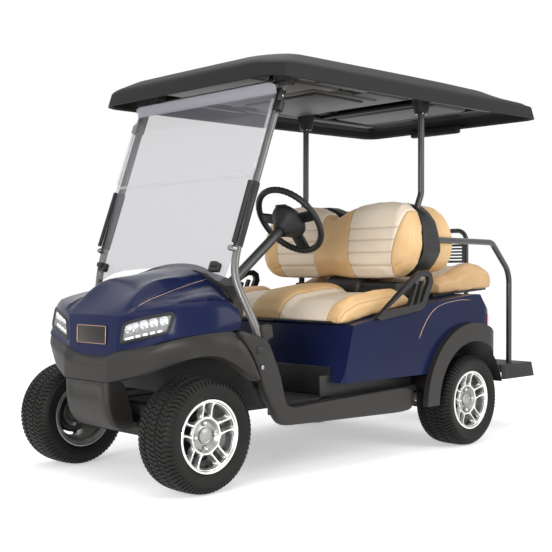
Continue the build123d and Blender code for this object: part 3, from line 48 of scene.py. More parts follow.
# ---------------------------------------------------------------- camera
# A long portrait lens at the height of the seat backs, in front of the cart and to its left.
# It stands about five metres off and looks level.
CAMERA_PLACE = (3.42296, -3.64048, 0.86891)
CAMERA_AZIMUTH = 45.333
CAMERA_ELEVATION = 0.234
CAMERA_ROLL = 0.087
CAMERA_LENS = 64.39
camera_data = bpy.data.cameras.new("camera")
camera_data.lens = CAMERA_LENS
camera_data.sensor_width = 36
camera = bpy.data.objects.new("camera", camera_data)
bpy.context.scene.collection.objects.link(camera)
camera.matrix_world = (
    Matrix.Translation(CAMERA_PLACE)
    @ Matrix.Rotation(radians(CAMERA_AZIMUTH), 4, "Z")
    @ Matrix.Rotation(pi / 2 - radians(CAMERA_ELEVATION), 4, "X")
    @ Matrix.Rotation(radians(CAMERA_ROLL), 4, "Z")
)
bpy.context.scene.camera = camera
bpy.context.scene.view_settings.view_transform = "Standard"

# ---------------------------------------------------------------- studio floor, surround and lamps
# A pale floor without a horizon, a white surround and large soft lamps overhead, beside and in front.
# The floor and surround are white to the eye and to mirrors, and dimmer as light on the cart.
FLOOR_REACH = 60
FLOOR_TONE = 0.74
FLOOR_GLOW = 0.43
SURROUND_LIGHT = 0.62


class Wire:
    """A socket of a node tree. Sums written with it become Math nodes."""

    def __init__(self, tree, socket=None):
        self.tree = tree
        self.socket = socket

    def node(self, kind, settings=None, inputs=None, output=0):
        """Adds a node: its settings first (a ramp's as "stops"), then values or wires for its inputs."""
        made = self.tree.nodes.new(kind)
        for key, value in (settings or {}).items():
            if key == "stops":
                ramp = made.color_ramp.elements
                while len(ramp) < len(value):
                    ramp.new(0.5)
                for element, (place, tone) in zip(ramp, value):
                    element.position = place
                    element.color = (*tone, 1) if isinstance(tone, tuple) else (tone, tone, tone, 1)
            else:
                setattr(made, key, value)
        for key, value in (inputs or {}).items():
            if isinstance(value, Wire):
                self.tree.links.new(value.socket, made.inputs[key])
            else:
                made.inputs[key].default_value = value
        return Wire(self.tree, made.outputs[output])

    def sum(self, operation, first, second):
        return self.node("ShaderNodeMath", {"operation": operation}, {0: first, 1: second})

    def __add__(self, other):
        return self.sum("ADD", self, other)

    def __sub__(self, other):
        return self.sum("SUBTRACT", self, other)

    def __mul__(self, other):
        return self.sum("MULTIPLY", self, other)

    def __gt__(self, other):
        return self.sum("GREATER_THAN", self, other)

    def __lt__(self, other):
        return self.sum("LESS_THAN", self, other)

    def __abs__(self):
        return self.sum("ABSOLUTE", self, 0.0)

    def mix(self, first, second):
        """Colour between two colours, by this wire as the factor."""
        inputs = {0: self, 6: first, 7: second}
        for key in (6, 7):
            if isinstance(inputs[key], tuple):
                inputs[key] = (*inputs[key], 1)
        return self.node("ShaderNodeMix", {"data_type": "RGBA"}, inputs, 2)


def seen_directly(wire):
    """1 for what the eye, a mirror or a pane shows, 0 for light on its way to the cart."""
    rays = [
        wire.node("ShaderNodeLightPath", output=name)
        for name in ("Is Camera Ray", "Is Glossy Ray", "Is Transmission Ray")
    ]
    return wire.sum("MINIMUM", rays[0] + rays[1] + rays[2], 1.0)


world = bpy.data.worlds.new("studio_surround")
bpy.context.scene.world = world
world.use_nodes = True
surround = world.node_tree.nodes["Background"]
surround.inputs["Color"].default_value = (1, 1, 1, 1)
surround.inputs["Strength"].default_value = SURROUND_LIGHT
surround_wire = Wire(world.node_tree)
backdrop = surround_wire.node("ShaderNodeBackground", inputs={"Color": (1, 1, 1, 1), "Strength": 1.0})
surround_mix = surround_wire.node(
    "ShaderNodeMixShader",
    inputs={0: seen_directly(surround_wire), 1: Wire(world.node_tree, surround.outputs[0]), 2: backdrop}
)
world.node_tree.links.new(surround_mix.socket, world.node_tree.nodes["World Output"].inputs["Surface"])

floor_mesh = bpy.data.meshes.new("studio_floor")
floor_mesh.from_pydata(
    [(x * FLOOR_REACH, y * FLOOR_REACH, 0) for x, y in ((-1, -1), (1, -1), (1, 1), (-1, 1))], [],
    [(0, 1, 2, 3)]
)
studio_floor = bpy.data.objects.new("studio_floor", floor_mesh)
bpy.context.scene.collection.objects.link(studio_floor)
floor_paint = bpy.data.materials.new("floor_paint")
floor_paint.use_nodes = True
floor_tree = floor_paint.node_tree
floor_shader = floor_tree.nodes["Principled BSDF"]
floor_shader.inputs["Roughness"].default_value = 0.9
floor_shader.inputs["Specular IOR Level"].default_value = 0.0
floor_wire = seen_directly(Wire(floor_tree))
floor_tree.links.new(
    floor_wire.mix((FLOOR_TONE,) * 3, (0.97,) * 3).socket, floor_shader.inputs["Base Color"]
)
floor_shader.inputs["Emission Strength"].default_value = 1.0
floor_tree.links.new(
    floor_wire.mix((0.0,) * 3, (FLOOR_GLOW,) * 3).socket, floor_shader.inputs["Emission Color"]
)
floor_mesh.materials.append(floor_paint)

LAMPS = (
    # name, place, aim, width, length, watts
    ("lamp_overhead", (0.3, -0.4, 4.2), (0.0, 0.1, 0.8), 3.6, 4.6, 78),
    ("lamp_side", (4.6, 1.2, 2.4), (0.3, 0.2, 0.8), 2.4, 2.8, 96),
    ("lamp_front", (-1.5, -5.2, 2.6), (0.0, -0.8, 0.6), 2.6, 2.2, 20),
    ("lamp_cabin", (2.3, -5.4, 1.3), (0.0, 0.1, 1.0), 1.8, 1.6, 150),
)
for lamp_name, place, aim, width, length, watts in LAMPS:
    lamp_data = bpy.data.lights.new(lamp_name, "AREA")
    lamp_data.shape = "RECTANGLE"
    lamp_data.size = width
    lamp_data.size_y = length
    lamp_data.energy = watts
    lamp = bpy.data.objects.new(lamp_name, lamp_data)
    lamp.location = place
    lamp.rotation_euler = (Vector(aim) - Vector(place)).to_track_quat("-Z", "Y").to_euler()
    bpy.context.scene.collection.objects.link(lamp)

# ---------------------------------------------------------------- hood
# One-piece moulded nose cover, painted navy under a clear coat, three millimetres thick.
# Two ribs run back from the nose corners, a sharper crease outside each, and it clips to the frame.
MM = 0.001
HOOD_NET = (
    # each row from the centre line to the side, from the bumper seam up to the cowl
    ((0, -1324, 517), (126, -1324, 517), (168, -1322, 546), (188, -1317, 549), (240, -1308, 557),
     (330, -1291, 573), (404, -1274, 600), (482, -1186, 624), (521, -1096, 634), (529, -976, 634)),
    ((0, -1323, 575), (110, -1323, 573), (169, -1321, 570), (178, -1318, 570), (240, -1303, 582),
     (330, -1281, 602), (408, -1259, 618), (482, -1180, 652), (522, -1086, 662), (530, -977, 664)),
    ((0, -1320, 660), (100, -1320, 660), (176, -1317, 657), (204, -1311, 666), (242, -1301, 689),
     (332, -1273, 707), (426, -1230, 724), (476, -1162, 722), (514, -1064, 722), (527, -977, 690)),
    ((0, -1318, 692), (98, -1317, 691), (180, -1314, 689), (214, -1305, 698), (246, -1293, 708),
     (335, -1258, 726), (420, -1205, 743), (470, -1132, 752), (504, -1035, 756), (518, -977, 714)),
    ((0, -1285, 718), (96, -1283, 722), (180, -1272, 738), (215, -1275, 719), (242, -1268, 738),
     (330, -1225, 745), (402, -1178, 757), (448, -1118, 764), (482, -1025, 768), (503, -976, 726)),
    ((0, -1195, 786), (92, -1190, 793), (178, -1178, 826), (220, -1185, 764), (246, -1183, 767),
     (318, -1160, 764), (380, -1130, 770), (420, -1088, 776), (455, -1018, 778), (485, -974, 737)),
    ((0, -1110, 830), (96, -1105, 834), (188, -1095, 846), (226, -1098, 790), (251, -1095, 794),
     (308, -1085, 780), (355, -1070, 783), (394, -1045, 787), (428, -1000, 786), (468, -971, 747)),
    ((0, -1000, 866), (104, -997, 862), (202, -990, 850), (234, -1000, 824), (257, -1000, 821),
     (302, -998, 803), (340, -990, 800), (372, -980, 796), (405, -970, 788), (454, -968, 755)),
    ((0, -880, 893), (112, -886, 887), (206, -898, 866), (240, -903, 852), (264, -908, 842),
     (308, -922, 826), (342, -934, 813), (372, -945, 801), (402, -955, 784), (440, -965, 762)),
)
HOOD_LIP_ROW = 3
HOOD_CREASES = (
    # along a column or a row: which, index, from, to, sharpness
    ("row", HOOD_LIP_ROW, 0, 6, 0.85), ("row", HOOD_LIP_ROW, 6, 8, 0.55), ("column", 2, 0, 3, 0.8),
    ("column", 2, 3, 7, 0.35), ("column", 6, 0, 3, 0.3), ("column", 4, 3, 8, 0.8),
    ("column", 6, 3, 6, 0.5), ("column", 1, 0, 1, 0.7),
)
LAMP_ROWS = (1, 2)
LAMP_COLUMNS = (3, 6)
HOOD_WALL = 3 * MM
HOOD_FACES_KEPT = 0.55


def surface_coordinates(wire):
    """The three coordinates of the point in the cart's frame, in metres."""
    place = wire.node("ShaderNodeTexCoord", output="Object")
    split = wire.node("ShaderNodeSeparateXYZ", inputs={0: place})
    return place, [Wire(wire.tree, split.socket.node.outputs[axis]) for axis in "XYZ"]


def noise(wire, place, scale, detail=2.0, rough=0.5):
    """Soft noise from 0 to 1 at a number of blotches per metre."""
    return wire.node(
        "ShaderNodeTexNoise", inputs={"Vector": place, "Scale": scale, "Detail": detail, "Roughness": rough}
    )


def ramp(wire, value, *stops):
    """Value spread over a ramp of grey levels or colours."""
    return wire.node("ShaderNodeValToRGB", {"stops": stops}, {0: value})


def material(name, fixed, varied):
    """A finish. fixed holds the shader's plain settings; varied makes the wires of what changes over it.
    A "Height" wire goes in with its depth in metres as (wire, depth) and becomes a bump."""
    made = bpy.data.materials.new(name)
    made.use_nodes = True
    shader = made.node_tree.nodes["Principled BSDF"]
    for key, value in fixed.items():
        shader.inputs[key].default_value = (*value, 1) if isinstance(value, tuple) else value
    wire = Wire(made.node_tree)
    for key, value in varied(wire).items():
        if key == "Height":
            height, depth = value
            bump = wire.node("ShaderNodeBump", inputs={"Height": height, "Strength": 1.0, "Distance": depth})
            made.node_tree.links.new(bump.socket, shader.inputs["Normal"])
        else:
            made.node_tree.links.new(value.socket, shader.inputs[key])
    return made


def speckled(tones, blotch, grain, rough, depth):
    """Wires of a plain finish: two tones in soft blotches and a fine grain, which is also its relief.
    blotch and grain are the settings of their noises, rough the share of the grain, of the blotches and a
    constant, and depth is in metres."""

    def wires(wire):
        place = surface_coordinates(wire)[0]
        fine = noise(wire, place, *grain)
        cloud = noise(wire, place, *blotch)
        return {
            "Base Color": ramp(wire, cloud, *tones),
            "Roughness": fine * rough[0] + cloud * rough[1] + rough[2],
            "Height": (fine, depth),
        }

    return wires


def baked(piece):
    """Applies the modifiers, so that the mesh is final."""
    bpy.context.view_layer.update()
    evaluated = piece.evaluated_get(bpy.context.evaluated_depsgraph_get())
    mesh = bpy.data.meshes.new_from_object(evaluated)
    piece.modifiers.clear()
    piece.data = mesh
    return piece


def shaded(piece, angle):
    """Smooth shading that keeps corners sharper than an angle in degrees."""
    piece.data.polygons.foreach_set("use_smooth", [True] * len(piece.data.polygons))
    piece.data.set_sharp_from_angle(angle=radians(angle))
    return piece


def placed(name, mesh, body="chassis"):
    """A piece of the scene from its mesh, on a body."""
    piece = bpy.data.objects.new(name, mesh)
    bpy.context.scene.collection.objects.link(piece)
    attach(piece, body)
    return piece


def piece_of(name, points, faces, finish, body="chassis"):
    """A new piece from points in metres, on a body, with its finish."""
    mesh = bpy.data.meshes.new(name)
    mesh.from_pydata([tuple(point) for point in points], [], faces)
    mesh.materials.append(finish)
    return placed(name, mesh, body)


def net_faces(rows, columns, closed=False):
    """Four-sided faces of a net of points, row by row."""
    return [
        (
            row * columns + column, row * columns + (column + 1) % columns,
            (row + 1) * columns + (column + 1) % columns, (row + 1) * columns + column,
        )
        for row in range(rows - 1)
        for column in range(columns if closed else columns - 1)
    ]


def creased(piece, marks, columns):
    """Marks creases for a subdivision along rows and columns of a net piece."""
    mesh = piece.data
    sharpness = {}
    for kind, index, start, stop, value in marks:
        for step in range(start, stop):
            if kind == "row":
                pair = (index * columns + step, index * columns + step + 1)
            else:
                pair = (step * columns + index, (step + 1) * columns + index)
            sharpness[tuple(sorted(pair))] = value
    crease = mesh.attributes.new("crease_edge", "FLOAT", "EDGE")
    for edge in mesh.edges:
        crease.data[edge.index].value = sharpness.get(tuple(sorted(edge.vertices)), 0.0)
    return piece


def smoothed(piece, levels, mirror=False, wall=0.0, outward=-1.0):
    """Mirror across the centre line, subdivision and wall thickness of a moulded sheet."""
    if mirror:
        half = piece.modifiers.new("mirror", "MIRROR")
        half.use_clip = True
        half.merge_threshold = 0.0004
    if levels:
        soft = piece.modifiers.new("soft", "SUBSURF")
        soft.levels = soft.render_levels = levels
    if wall:
        sheet = piece.modifiers.new("wall", "SOLIDIFY")
        sheet.thickness = wall
        sheet.offset = outward
    return baked(piece)


@contextmanager
def mesh_of(piece):
    """Opens a piece's mesh for changes and writes them back."""
    work = bmesh.new()
    work.from_mesh(piece.data)
    yield work
    work.to_mesh(piece.data)
    work.free()


def faces_outward(piece, centre):
    """Turns all faces of an open sheet away from a point inside it."""
    with mesh_of(piece) as work:
        bmesh.ops.recalc_face_normals(work, faces=work.faces)
        vote = sum(
            (face.calc_center_median() - Vector(centre)).dot(face.normal) * face.calc_area()
            for face in work.faces
        )
        if vote < 0:
            bmesh.ops.reverse_faces(work, faces=work.faces)


def navy_wires(wire):
    place, (_, _, z) = surface_coordinates(wire)
    cloud = noise(wire, place, 3.0, 3.0)
    dust = noise(wire, place, 40.0, 4.0, 0.6)
    low = ramp(wire, z, (0.36, 1.0), (0.52, 0.0))
    tone = ramp(wire, cloud * 0.8 + low * dust * 0.3, (0.3, NAVY_DEEP), (0.9, NAVY_LIGHT))
    return {
        "Base Color": tone,
        "Roughness": cloud * 0.08 + low * dust * 0.18 + 0.2,
        "Height": (noise(wire, place, 260.0, 1.0), 0.00006),
    }


NAVY_DEEP = (0.0072, 0.0115, 0.046)
NAVY_LIGHT = (0.0105, 0.0165, 0.064)
navy_paint = material(
    "navy_paint", {"Coat Weight": 0.06, "Coat Roughness": 0.05, "Specular IOR Level": 0.10}, navy_wires
)


def marked(piece, faces):
    """Gives some faces of a net a second finish index, which a subdivision carries along."""
    for index in faces:
        piece.data.polygons[index].material_index = 1
    return piece


def split(piece, name, index, finish, slot=None):
    """A new piece from the faces that carry a finish index."""
    work = bmesh.new()
    work.from_mesh(piece.data)
    bmesh.ops.delete(
        work, geom=[face for face in work.faces if face.material_index != index], context="FACES"
    )
    for face in work.faces:
        face.material_index = 0
    mesh = bpy.data.meshes.new(name)
    work.to_mesh(mesh)
    work.free()
    mesh.materials.append(finish)
    return placed(name, mesh)


hood_columns = len(HOOD_NET[0])
hood_points = [Vector(point) * MM for row in HOOD_NET for point in row]
hood_faces = net_faces(len(HOOD_NET), hood_columns)
nose_sheet = piece_of("nose_sheet", hood_points, hood_faces, navy_paint)
nose_sheet.data.materials.append(navy_paint)
marked(nose_sheet, [
    row * (hood_columns - 1) + column for row in range(*LAMP_ROWS) for column in range(*LAMP_COLUMNS)
])
creased(nose_sheet, HOOD_CREASES, hood_columns)
faces_outward(nose_sheet, (0, -1.0, 0.6))
smoothed(nose_sheet, 4, mirror=True)
hood = split(nose_sheet, "hood_cover", 0, navy_paint, slot="navy_paint")
smoothed(hood, 0, wall=HOOD_WALL)
fewer = hood.modifiers.new("fewer", "DECIMATE")
fewer.ratio = HOOD_FACES_KEPT
baked(hood)
shaded(hood, 40)
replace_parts(hood, "hood")

# ---------------------------------------------------------------- headlamps
# Clear cover set flush in the hood, a black bezel, chrome bowls on a dark plate and a row of six
# white light-emitting squares below. The right one is the mirror image of the left.
LENS_WALL = 2.5 * MM
BEZEL_RADIUS = 7 * MM
BEZEL_SUNK = 2.2
LAMP_DEPTH = 34
LAMP_TAPER = 0.04
BOWL_COUNT = 5
LIGHT_COUNT = 6


def joined(pieces, name):
    """Makes one piece of several that share a body."""
    work = bmesh.new()
    finishes = []
    for piece in pieces:
        before = len(work.faces)
        work.from_mesh(piece.data)
        work.faces.ensure_lookup_table()
        for material_slot in piece.data.materials:
            if material_slot not in finishes:
                finishes.append(material_slot)
        for face in work.faces[before:]:
            face.material_index = finishes.index(piece.data.materials[face.material_index])
    mesh = bpy.data.meshes.new(name)
    work.to_mesh(mesh)
    work.free()
    for finish in finishes:
        mesh.materials.append(finish)
    first = pieces[0]
    first.data = mesh
    first.name = name
    for piece in pieces[1:]:
        bpy.data.objects.remove(piece)
    return first


def faces_aligned(piece):
    """Turns the faces of a closed form outward."""
    with mesh_of(piece) as work:
        bmesh.ops.recalc_face_normals(work, faces=work.faces)
    return piece


def sweep(name, route, radius, finish, body="chassis", closed=False, sides=12):
    """A rod of round section along points in metres; the radius may change from point to point."""
    route = [Vector(point) for point in route]
    count = len(route)
    radii = radius if isinstance(radius, (list, tuple)) else [radius] * count
    points, faces = [], []
    side = None
    for step, place in enumerate(route):
        ahead = route[(step + 1) % count] if closed or step + 1 < count else place
        behind = route[step - 1] if closed or step else place
        along = (ahead - behind).normalized()
        if side is None:
            side = along.orthogonal().normalized()
            if abs(along.z) < 0.9:
                side = along.cross(Vector((0, 0, 1))).normalized()
        side = (side - along * side.dot(along)).normalized()
        up = along.cross(side)
        for turn in range(sides):
            angle = 2 * pi * turn / sides
            points.append(place + side * cos(angle) * radii[step] + up * sin(angle) * radii[step])
    rings = count if closed else count - 1
    for step in range(rings):
        for turn in range(sides):
            a, b = step * sides, ((step + 1) % count) * sides
            faces.append((a + turn, a + (turn + 1) % sides, b + (turn + 1) % sides, b + turn))
    if not closed:
        faces.append(tuple(reversed(range(sides))))
        faces.append(tuple(range((count - 1) * sides, count * sides)))
    return shaded(faces_aligned(piece_of(name, points, faces, finish, body)), 50)


def rounded_route(points, reach, steps):
    """A route through points with its corners rounded; reach is the length taken off each side of one."""
    points = [Vector(point) for point in points]
    route = [points[0]]
    for before, corner, after in zip(points, points[1:], points[2:]):
        start = corner + (before - corner).normalized() * min(reach, (before - corner).length * 0.49)
        stop = corner + (after - corner).normalized() * min(reach, (after - corner).length * 0.49)
        for step in range(steps + 1):
            t = step / steps
            route.append(start * (1 - t) ** 2 + corner * 2 * t * (1 - t) + stop * t ** 2)
    route.append(points[-1])
    return route


def edge_loop(piece):
    """The open border of a sheet, in order, as points in metres."""
    work = bmesh.new()
    work.from_mesh(piece.data)
    border = [edge for edge in work.edges if len(edge.link_faces) == 1]
    links = {}
    for edge in border:
        first, second = edge.verts
        links.setdefault(first.index, []).append(second.index)
        links.setdefault(second.index, []).append(first.index)
    start = border[0].verts[0].index
    loop, previous, current = [start], None, start
    while True:
        step = [index for index in links[current] if index != previous]
        if not step or step[0] == start:
            break
        previous, current = current, step[0]
        loop.append(current)
    work.verts.ensure_lookup_table()
    places = [work.verts[index].co.copy() for index in loop]
    work.free()
    return places


def turned(name, profile, place, axis, finish, body="chassis", sides=32, angle=35):
    """A turned piece: profile of (along the axis, radius) in metres, from its first to its last point."""
    points, faces = [], []
    for along, radius in profile:
        for turn in range(sides):
            spin = 2 * pi * turn / sides
            points.append(Vector((cos(spin) * radius, sin(spin) * radius, along)))
    faces = net_faces(len(profile), sides, closed=True)
    turn_to = Vector(axis).to_track_quat("Z", "Y").to_matrix().to_4x4()
    where = Matrix.Translation(Vector(place)) @ turn_to
    made = piece_of(name, [where @ point for point in points], faces, finish, body)
    with mesh_of(made) as work:
        bmesh.ops.remove_doubles(work, verts=work.verts, dist=1e-6)
        bmesh.ops.recalc_face_normals(work, faces=work.faces)
    return shaded(made, angle)


def block(name, size, place, turn, finish, edge, body="chassis", segments=2):
    """A rounded block: size and place in metres, turn as a rotation matrix or None."""
    half = [value / 2 for value in size]
    points = [
        Vector((x * half[0], y * half[1], z * half[2])) for x in (-1, 1) for y in (-1, 1) for z in (-1, 1)
    ]
    where = Matrix.Translation(Vector(place)) @ (turn.to_4x4() if turn else Matrix.Identity(4))
    faces = [(0, 1, 3, 2), (4, 6, 7, 5), (0, 4, 5, 1), (2, 3, 7, 6), (0, 2, 6, 4), (1, 5, 7, 3)]
    made = piece_of(name, [where @ point for point in points], faces, finish, body)
    with mesh_of(made) as work:
        bmesh.ops.bevel(
            work, geom=list(work.edges), offset=min(edge, min(size) * 0.45), segments=segments,
            affect="EDGES", profile=0.5,
        )
        bmesh.ops.recalc_face_normals(work, faces=work.faces)
    return shaded(made, 30)


def mirror_of(piece, name):
    """The right-hand twin of a left-hand piece."""
    twin = placed(name, piece.data.copy())
    twin.data.transform(Matrix.Scale(-1, 4, (1, 0, 0)))
    twin.data.flip_normals()
    return twin


def lens_wires(wire):
    place = surface_coordinates(wire)[0]
    return {"Roughness": noise(wire, place, 30.0) * 0.03 + 0.03}


def chrome_wires(wire):
    place = surface_coordinates(wire)[0]
    return {"Roughness": noise(wire, place, 50.0) * 0.08 + 0.1}


BLACK_DEEP = (0.0060, 0.0060, 0.0064)
BLACK_DUSTY = (0.0110, 0.0104, 0.0102)
black_wires = speckled(
    ((0.35, BLACK_DEEP), (0.75, BLACK_DUSTY)), (9.0, 4.0, 0.6), (900.0, 2.0), (0.12, 0.12, 0.36), 0.00012
)
lens_clear = material(
    "lens_clear", {"Base Color": (1.0, 1.0, 1.0), "Alpha": 0.14, "Specular IOR Level": 0.5}, lens_wires
)
chrome = material("chrome", {"Base Color": (0.78, 0.79, 0.8), "Metallic": 1.0}, chrome_wires)
black_plastic = material("black_plastic", {"Specular IOR Level": 0.4}, black_wires)
lamp_white = material(
    "lamp_white",
    {"Base Color": (0.9, 0.9, 0.9), "Emission Color": (1.0, 1.0, 1.0), "Emission Strength": 0.55},
    chrome_wires,
)

lamp_sheet = split(nose_sheet, "lamp_sheet", 1, lens_clear)
bpy.data.objects.remove(nose_sheet)
with mesh_of(lamp_sheet) as work:
    bmesh.ops.delete(work, geom=[vert for vert in work.verts if vert.co.x < 0], context="VERTS")
lamp_border = edge_loop(lamp_sheet)
lens = split(lamp_sheet, "lens_left", 0, lens_clear, slot="lamp_lens")
for vertex in lens.data.vertices:
    vertex.co -= vertex.normal * 1.2 * MM
smoothed(lens, 0, wall=LENS_WALL)
shaded(lens, 40)
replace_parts(lens, "headlamp_left")
bezel_line = lamp_border
for _ in range(8):
    bezel_line = [
        (bezel_line[step - 1] + point * 2 + bezel_line[(step + 1) % len(bezel_line)]) / 4
        for step, point in enumerate(bezel_line)
    ]
bezel = sweep(
    "lamp_bezel_left", bezel_line, BEZEL_RADIUS, black_plastic, closed=True, sides=10
)
lamp_normal = (lamp_sheet.data.polygons[len(lamp_sheet.data.polygons) // 2].normal).normalized()
for vertex in bezel.data.vertices:
    vertex.co -= lamp_normal * BEZEL_SUNK * MM
lamp_back = split(lamp_sheet, "lamp_back_left", 0, black_plastic, slot="black_moulding")
lamp_middle = sum(lamp_border, Vector()) / len(lamp_border)
for vertex in lamp_back.data.vertices:
    vertex.co += (lamp_middle - vertex.co) * LAMP_TAPER - lamp_normal * LAMP_DEPTH * MM
smoothed(lamp_back, 0, wall=2 * MM)
lamp_rim = piece_of(
    "lamp_well_left",
    [point - lamp_normal * depth + (lamp_middle - point) * shrink
     for depth, shrink in ((3 * MM, 0.0), (20 * MM, 0.02), (LAMP_DEPTH * MM, LAMP_TAPER))
     for point in lamp_border],
    net_faces(3, len(lamp_border), closed=True), chrome,
)
smoothed(lamp_rim, 0, wall=1 * MM)
shaded(lamp_rim, 40)
bpy.data.objects.remove(lamp_sheet)


def lamp_point(along, up, depth):
    """A point in the lamp: shares along it from the nose outwards and up it, and metres behind its cover."""
    low, high = [
        [Vector(point) * MM for point in HOOD_NET[row][LAMP_COLUMNS[0]:LAMP_COLUMNS[1] + 1]]
        for row in LAMP_ROWS
    ]
    share = along * (len(low) - 1)
    index = min(int(share), len(low) - 2)
    share -= index
    bottom = low[index].lerp(low[index + 1], share)
    top = high[index].lerp(high[index + 1], share)
    return bottom.lerp(top, up) - lamp_normal * depth


lamp_parts = [bezel, lamp_back, lamp_rim]
for count in range(LIGHT_COUNT):
    along = 0.16 + 0.66 * count / (LIGHT_COUNT - 1)
    across = lamp_point(along + 0.05, 0.24, 0.014) - lamp_point(along - 0.05, 0.24, 0.014)
    facing = Matrix((across.normalized(), lamp_normal, across.normalized().cross(lamp_normal))).transposed()
    lamp_parts.append(block(
        f"lamp_light_{count}", (0.021, 0.008, 0.013), lamp_point(along, 0.24, 0.014), facing, lamp_white,
        0.003
    ))
for count in range(BOWL_COUNT):
    along = 0.2 + 0.66 * count / (BOWL_COUNT - 1)
    lamp_parts.append(turned(
        f"lamp_bowl_{count}",
        ((0.000, 0.021), (-0.003, 0.020), (-0.012, 0.016), (-0.018, 0.009), (-0.020, 0.0001), (-0.022, 0.009),
         (-0.015, 0.018), (-0.002, 0.022), (0.000, 0.021)),
        lamp_point(along, 0.63, 0.010), lamp_normal, chrome, sides=24,
    ))
headlamp_inside = joined(lamp_parts, "headlamp_inside_left")
mirror_of(headlamp_inside, "headlamp_inside_right")
right_lens = mirror_of(lens, "lens_right")
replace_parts(right_lens, "headlamp_right")

# ---------------------------------------------------------------- name plate
# Blank dark plate in a bronze frame.
# It is bonded to the flat of the nose between the headlamps.
PLATE_WIDTH = 0.204
PLATE_HEIGHT = 0.072
PLATE_PLACE = (0.0, -1.3235, 0.612)


def plate_wires(wire):
    place = surface_coordinates(wire)[0]
    return {"Roughness": noise(wire, place, 60.0) * 0.1 + 0.28}


plate_dark = material(
    "plate_dark", {"Base Color": (0.010, 0.007, 0.006), "Specular IOR Level": 0.4}, plate_wires
)
bronze = material("bronze", {"Base Color": (0.42, 0.27, 0.19), "Metallic": 0.85}, plate_wires)
plate_tilt = Matrix.Rotation(radians(-1.5), 3, "X")
block("nose_plate", (PLATE_WIDTH, 0.005, PLATE_HEIGHT), PLATE_PLACE, plate_tilt, plate_dark, 0.0024)
corner = 0.007
outline = []
for centre_x, centre_z, start in (
    (PLATE_WIDTH / 2 - corner, PLATE_HEIGHT / 2 - corner, 0),
    (-PLATE_WIDTH / 2 + corner, PLATE_HEIGHT / 2 - corner, 90),
    (-PLATE_WIDTH / 2 + corner, -PLATE_HEIGHT / 2 + corner, 180),
    (PLATE_WIDTH / 2 - corner, -PLATE_HEIGHT / 2 + corner, 270),
):
    for step in range(7):
        spin = radians(start + 15 * step)
        outline.append(
            Vector(PLATE_PLACE)
            + plate_tilt @ Vector((centre_x + corner * cos(spin), -0.0022, centre_z + corner * sin(spin)))
        )
sweep("nose_plate_frame", outline, 0.0019, bronze, closed=True, sides=10)

# ---------------------------------------------------------------- hood pinstripes
# Fine bronze lines inlaid along the outer crease of each rib of the hood.
# They follow its surface from the lamp to the cowl.
hood_tree = BVHTree.FromObject(hood, bpy.context.evaluated_depsgraph_get())
stripe_route = [Vector(row[4]) * MM for row in HOOD_NET[4:]]
stripe_route = [
    hood_tree.find_nearest(first.lerp(second, step / 8))[0]
    for first, second in zip(stripe_route, stripe_route[1:]) for step in range(8)
]
hood_stripe = sweep("hood_pinstripe_left", stripe_route, 0.0014, bronze, sides=8)
mirror_of(hood_stripe, "hood_pinstripe_right")

# ---------------------------------------------------------------- bumper and front fenders
# One grey grained moulding round the nose that runs back over the front wheels as fenders.
# A narrow bevel meets the hood's seam, and a short flange turns inwards below.
BUMPER_NET = (
    # seam, bevel, foot and flange, column by column from the centre line round to the rocker
    ((0, -1337, 518), (0, -1358, 495), (0, -1357, 424), (0, -1325, 420)),
    ((121, -1337, 518), (119, -1358, 495), (116, -1357, 424), (112, -1325, 420)),
    ((170, -1331, 547), (153, -1356, 521), (153, -1356, 425), (150, -1325, 421)),
    ((240, -1313, 558), (222, -1342, 533), (222, -1333, 442), (212, -1303, 438)),
    ((330, -1294, 574), (316, -1317, 546), (300, -1306, 462), (284, -1276, 458)),
    ((404, -1266, 598), (399, -1282, 566), (362, -1274, 486), (340, -1248, 481)),
    ((458, -1208, 616), (464, -1226, 584), (420, -1229, 510), (392, -1212, 504)),
    ((496, -1148, 629), (510, -1164, 596), (482, -1182, 534), (450, -1172, 527)),
    ((514, -1092, 635), (534, -1106, 600), (516, -1140, 543), (482, -1136, 535)),
    ((522, -1040, 636), (548, -1050, 594), (530, -1084, 538), (496, -1086, 530)),
    ((529, -1016, 634), (560, -1030, 585), (545, -1040, 516), (512, -1046, 510)),
    ((555, -1000, 606), (569, -1006, 560), (550, -1004, 494), (512, -1008, 490)),
    ((567, -966, 556), (571, -978, 520), (551, -968, 470), (512, -972, 466)),
    ((569, -934, 504), (571, -950, 478), (551, -938, 449), (512, -942, 446)),
    ((568, -903, 440), (568, -912, 434), (550, -908, 429), (512, -912, 427)),
)
BUMPER_CREASES = (
    ("column", 2, 0, 5, 0.7), ("column", 3, 0, 14, 0.6), ("column", 1, 0, 14, 0.8), ("row", 2, 1, 3, 0.6),
    ("row", 1, 1, 2, 0.6),
)


def grey_wires(wire):
    place, (_, _, z) = surface_coordinates(wire)
    grain = noise(wire, place, 700.0, 2.0)
    cloud = noise(wire, place, 5.0, 3.0)
    scuff = noise(wire, place, 28.0, 5.0, 0.65)
    low = ramp(wire, z, (0.24, 1.0), (0.42, 0.0))
    return {
        "Base Color": ramp(wire, cloud * 0.7 + scuff * 0.2 + low * 0.15, (0.3, GREY_DEEP), (0.8, GREY_LIGHT)),
        "Roughness": grain * 0.1 + scuff * 0.12 + 0.34,
        "Height": (grain, 0.00014),
    }


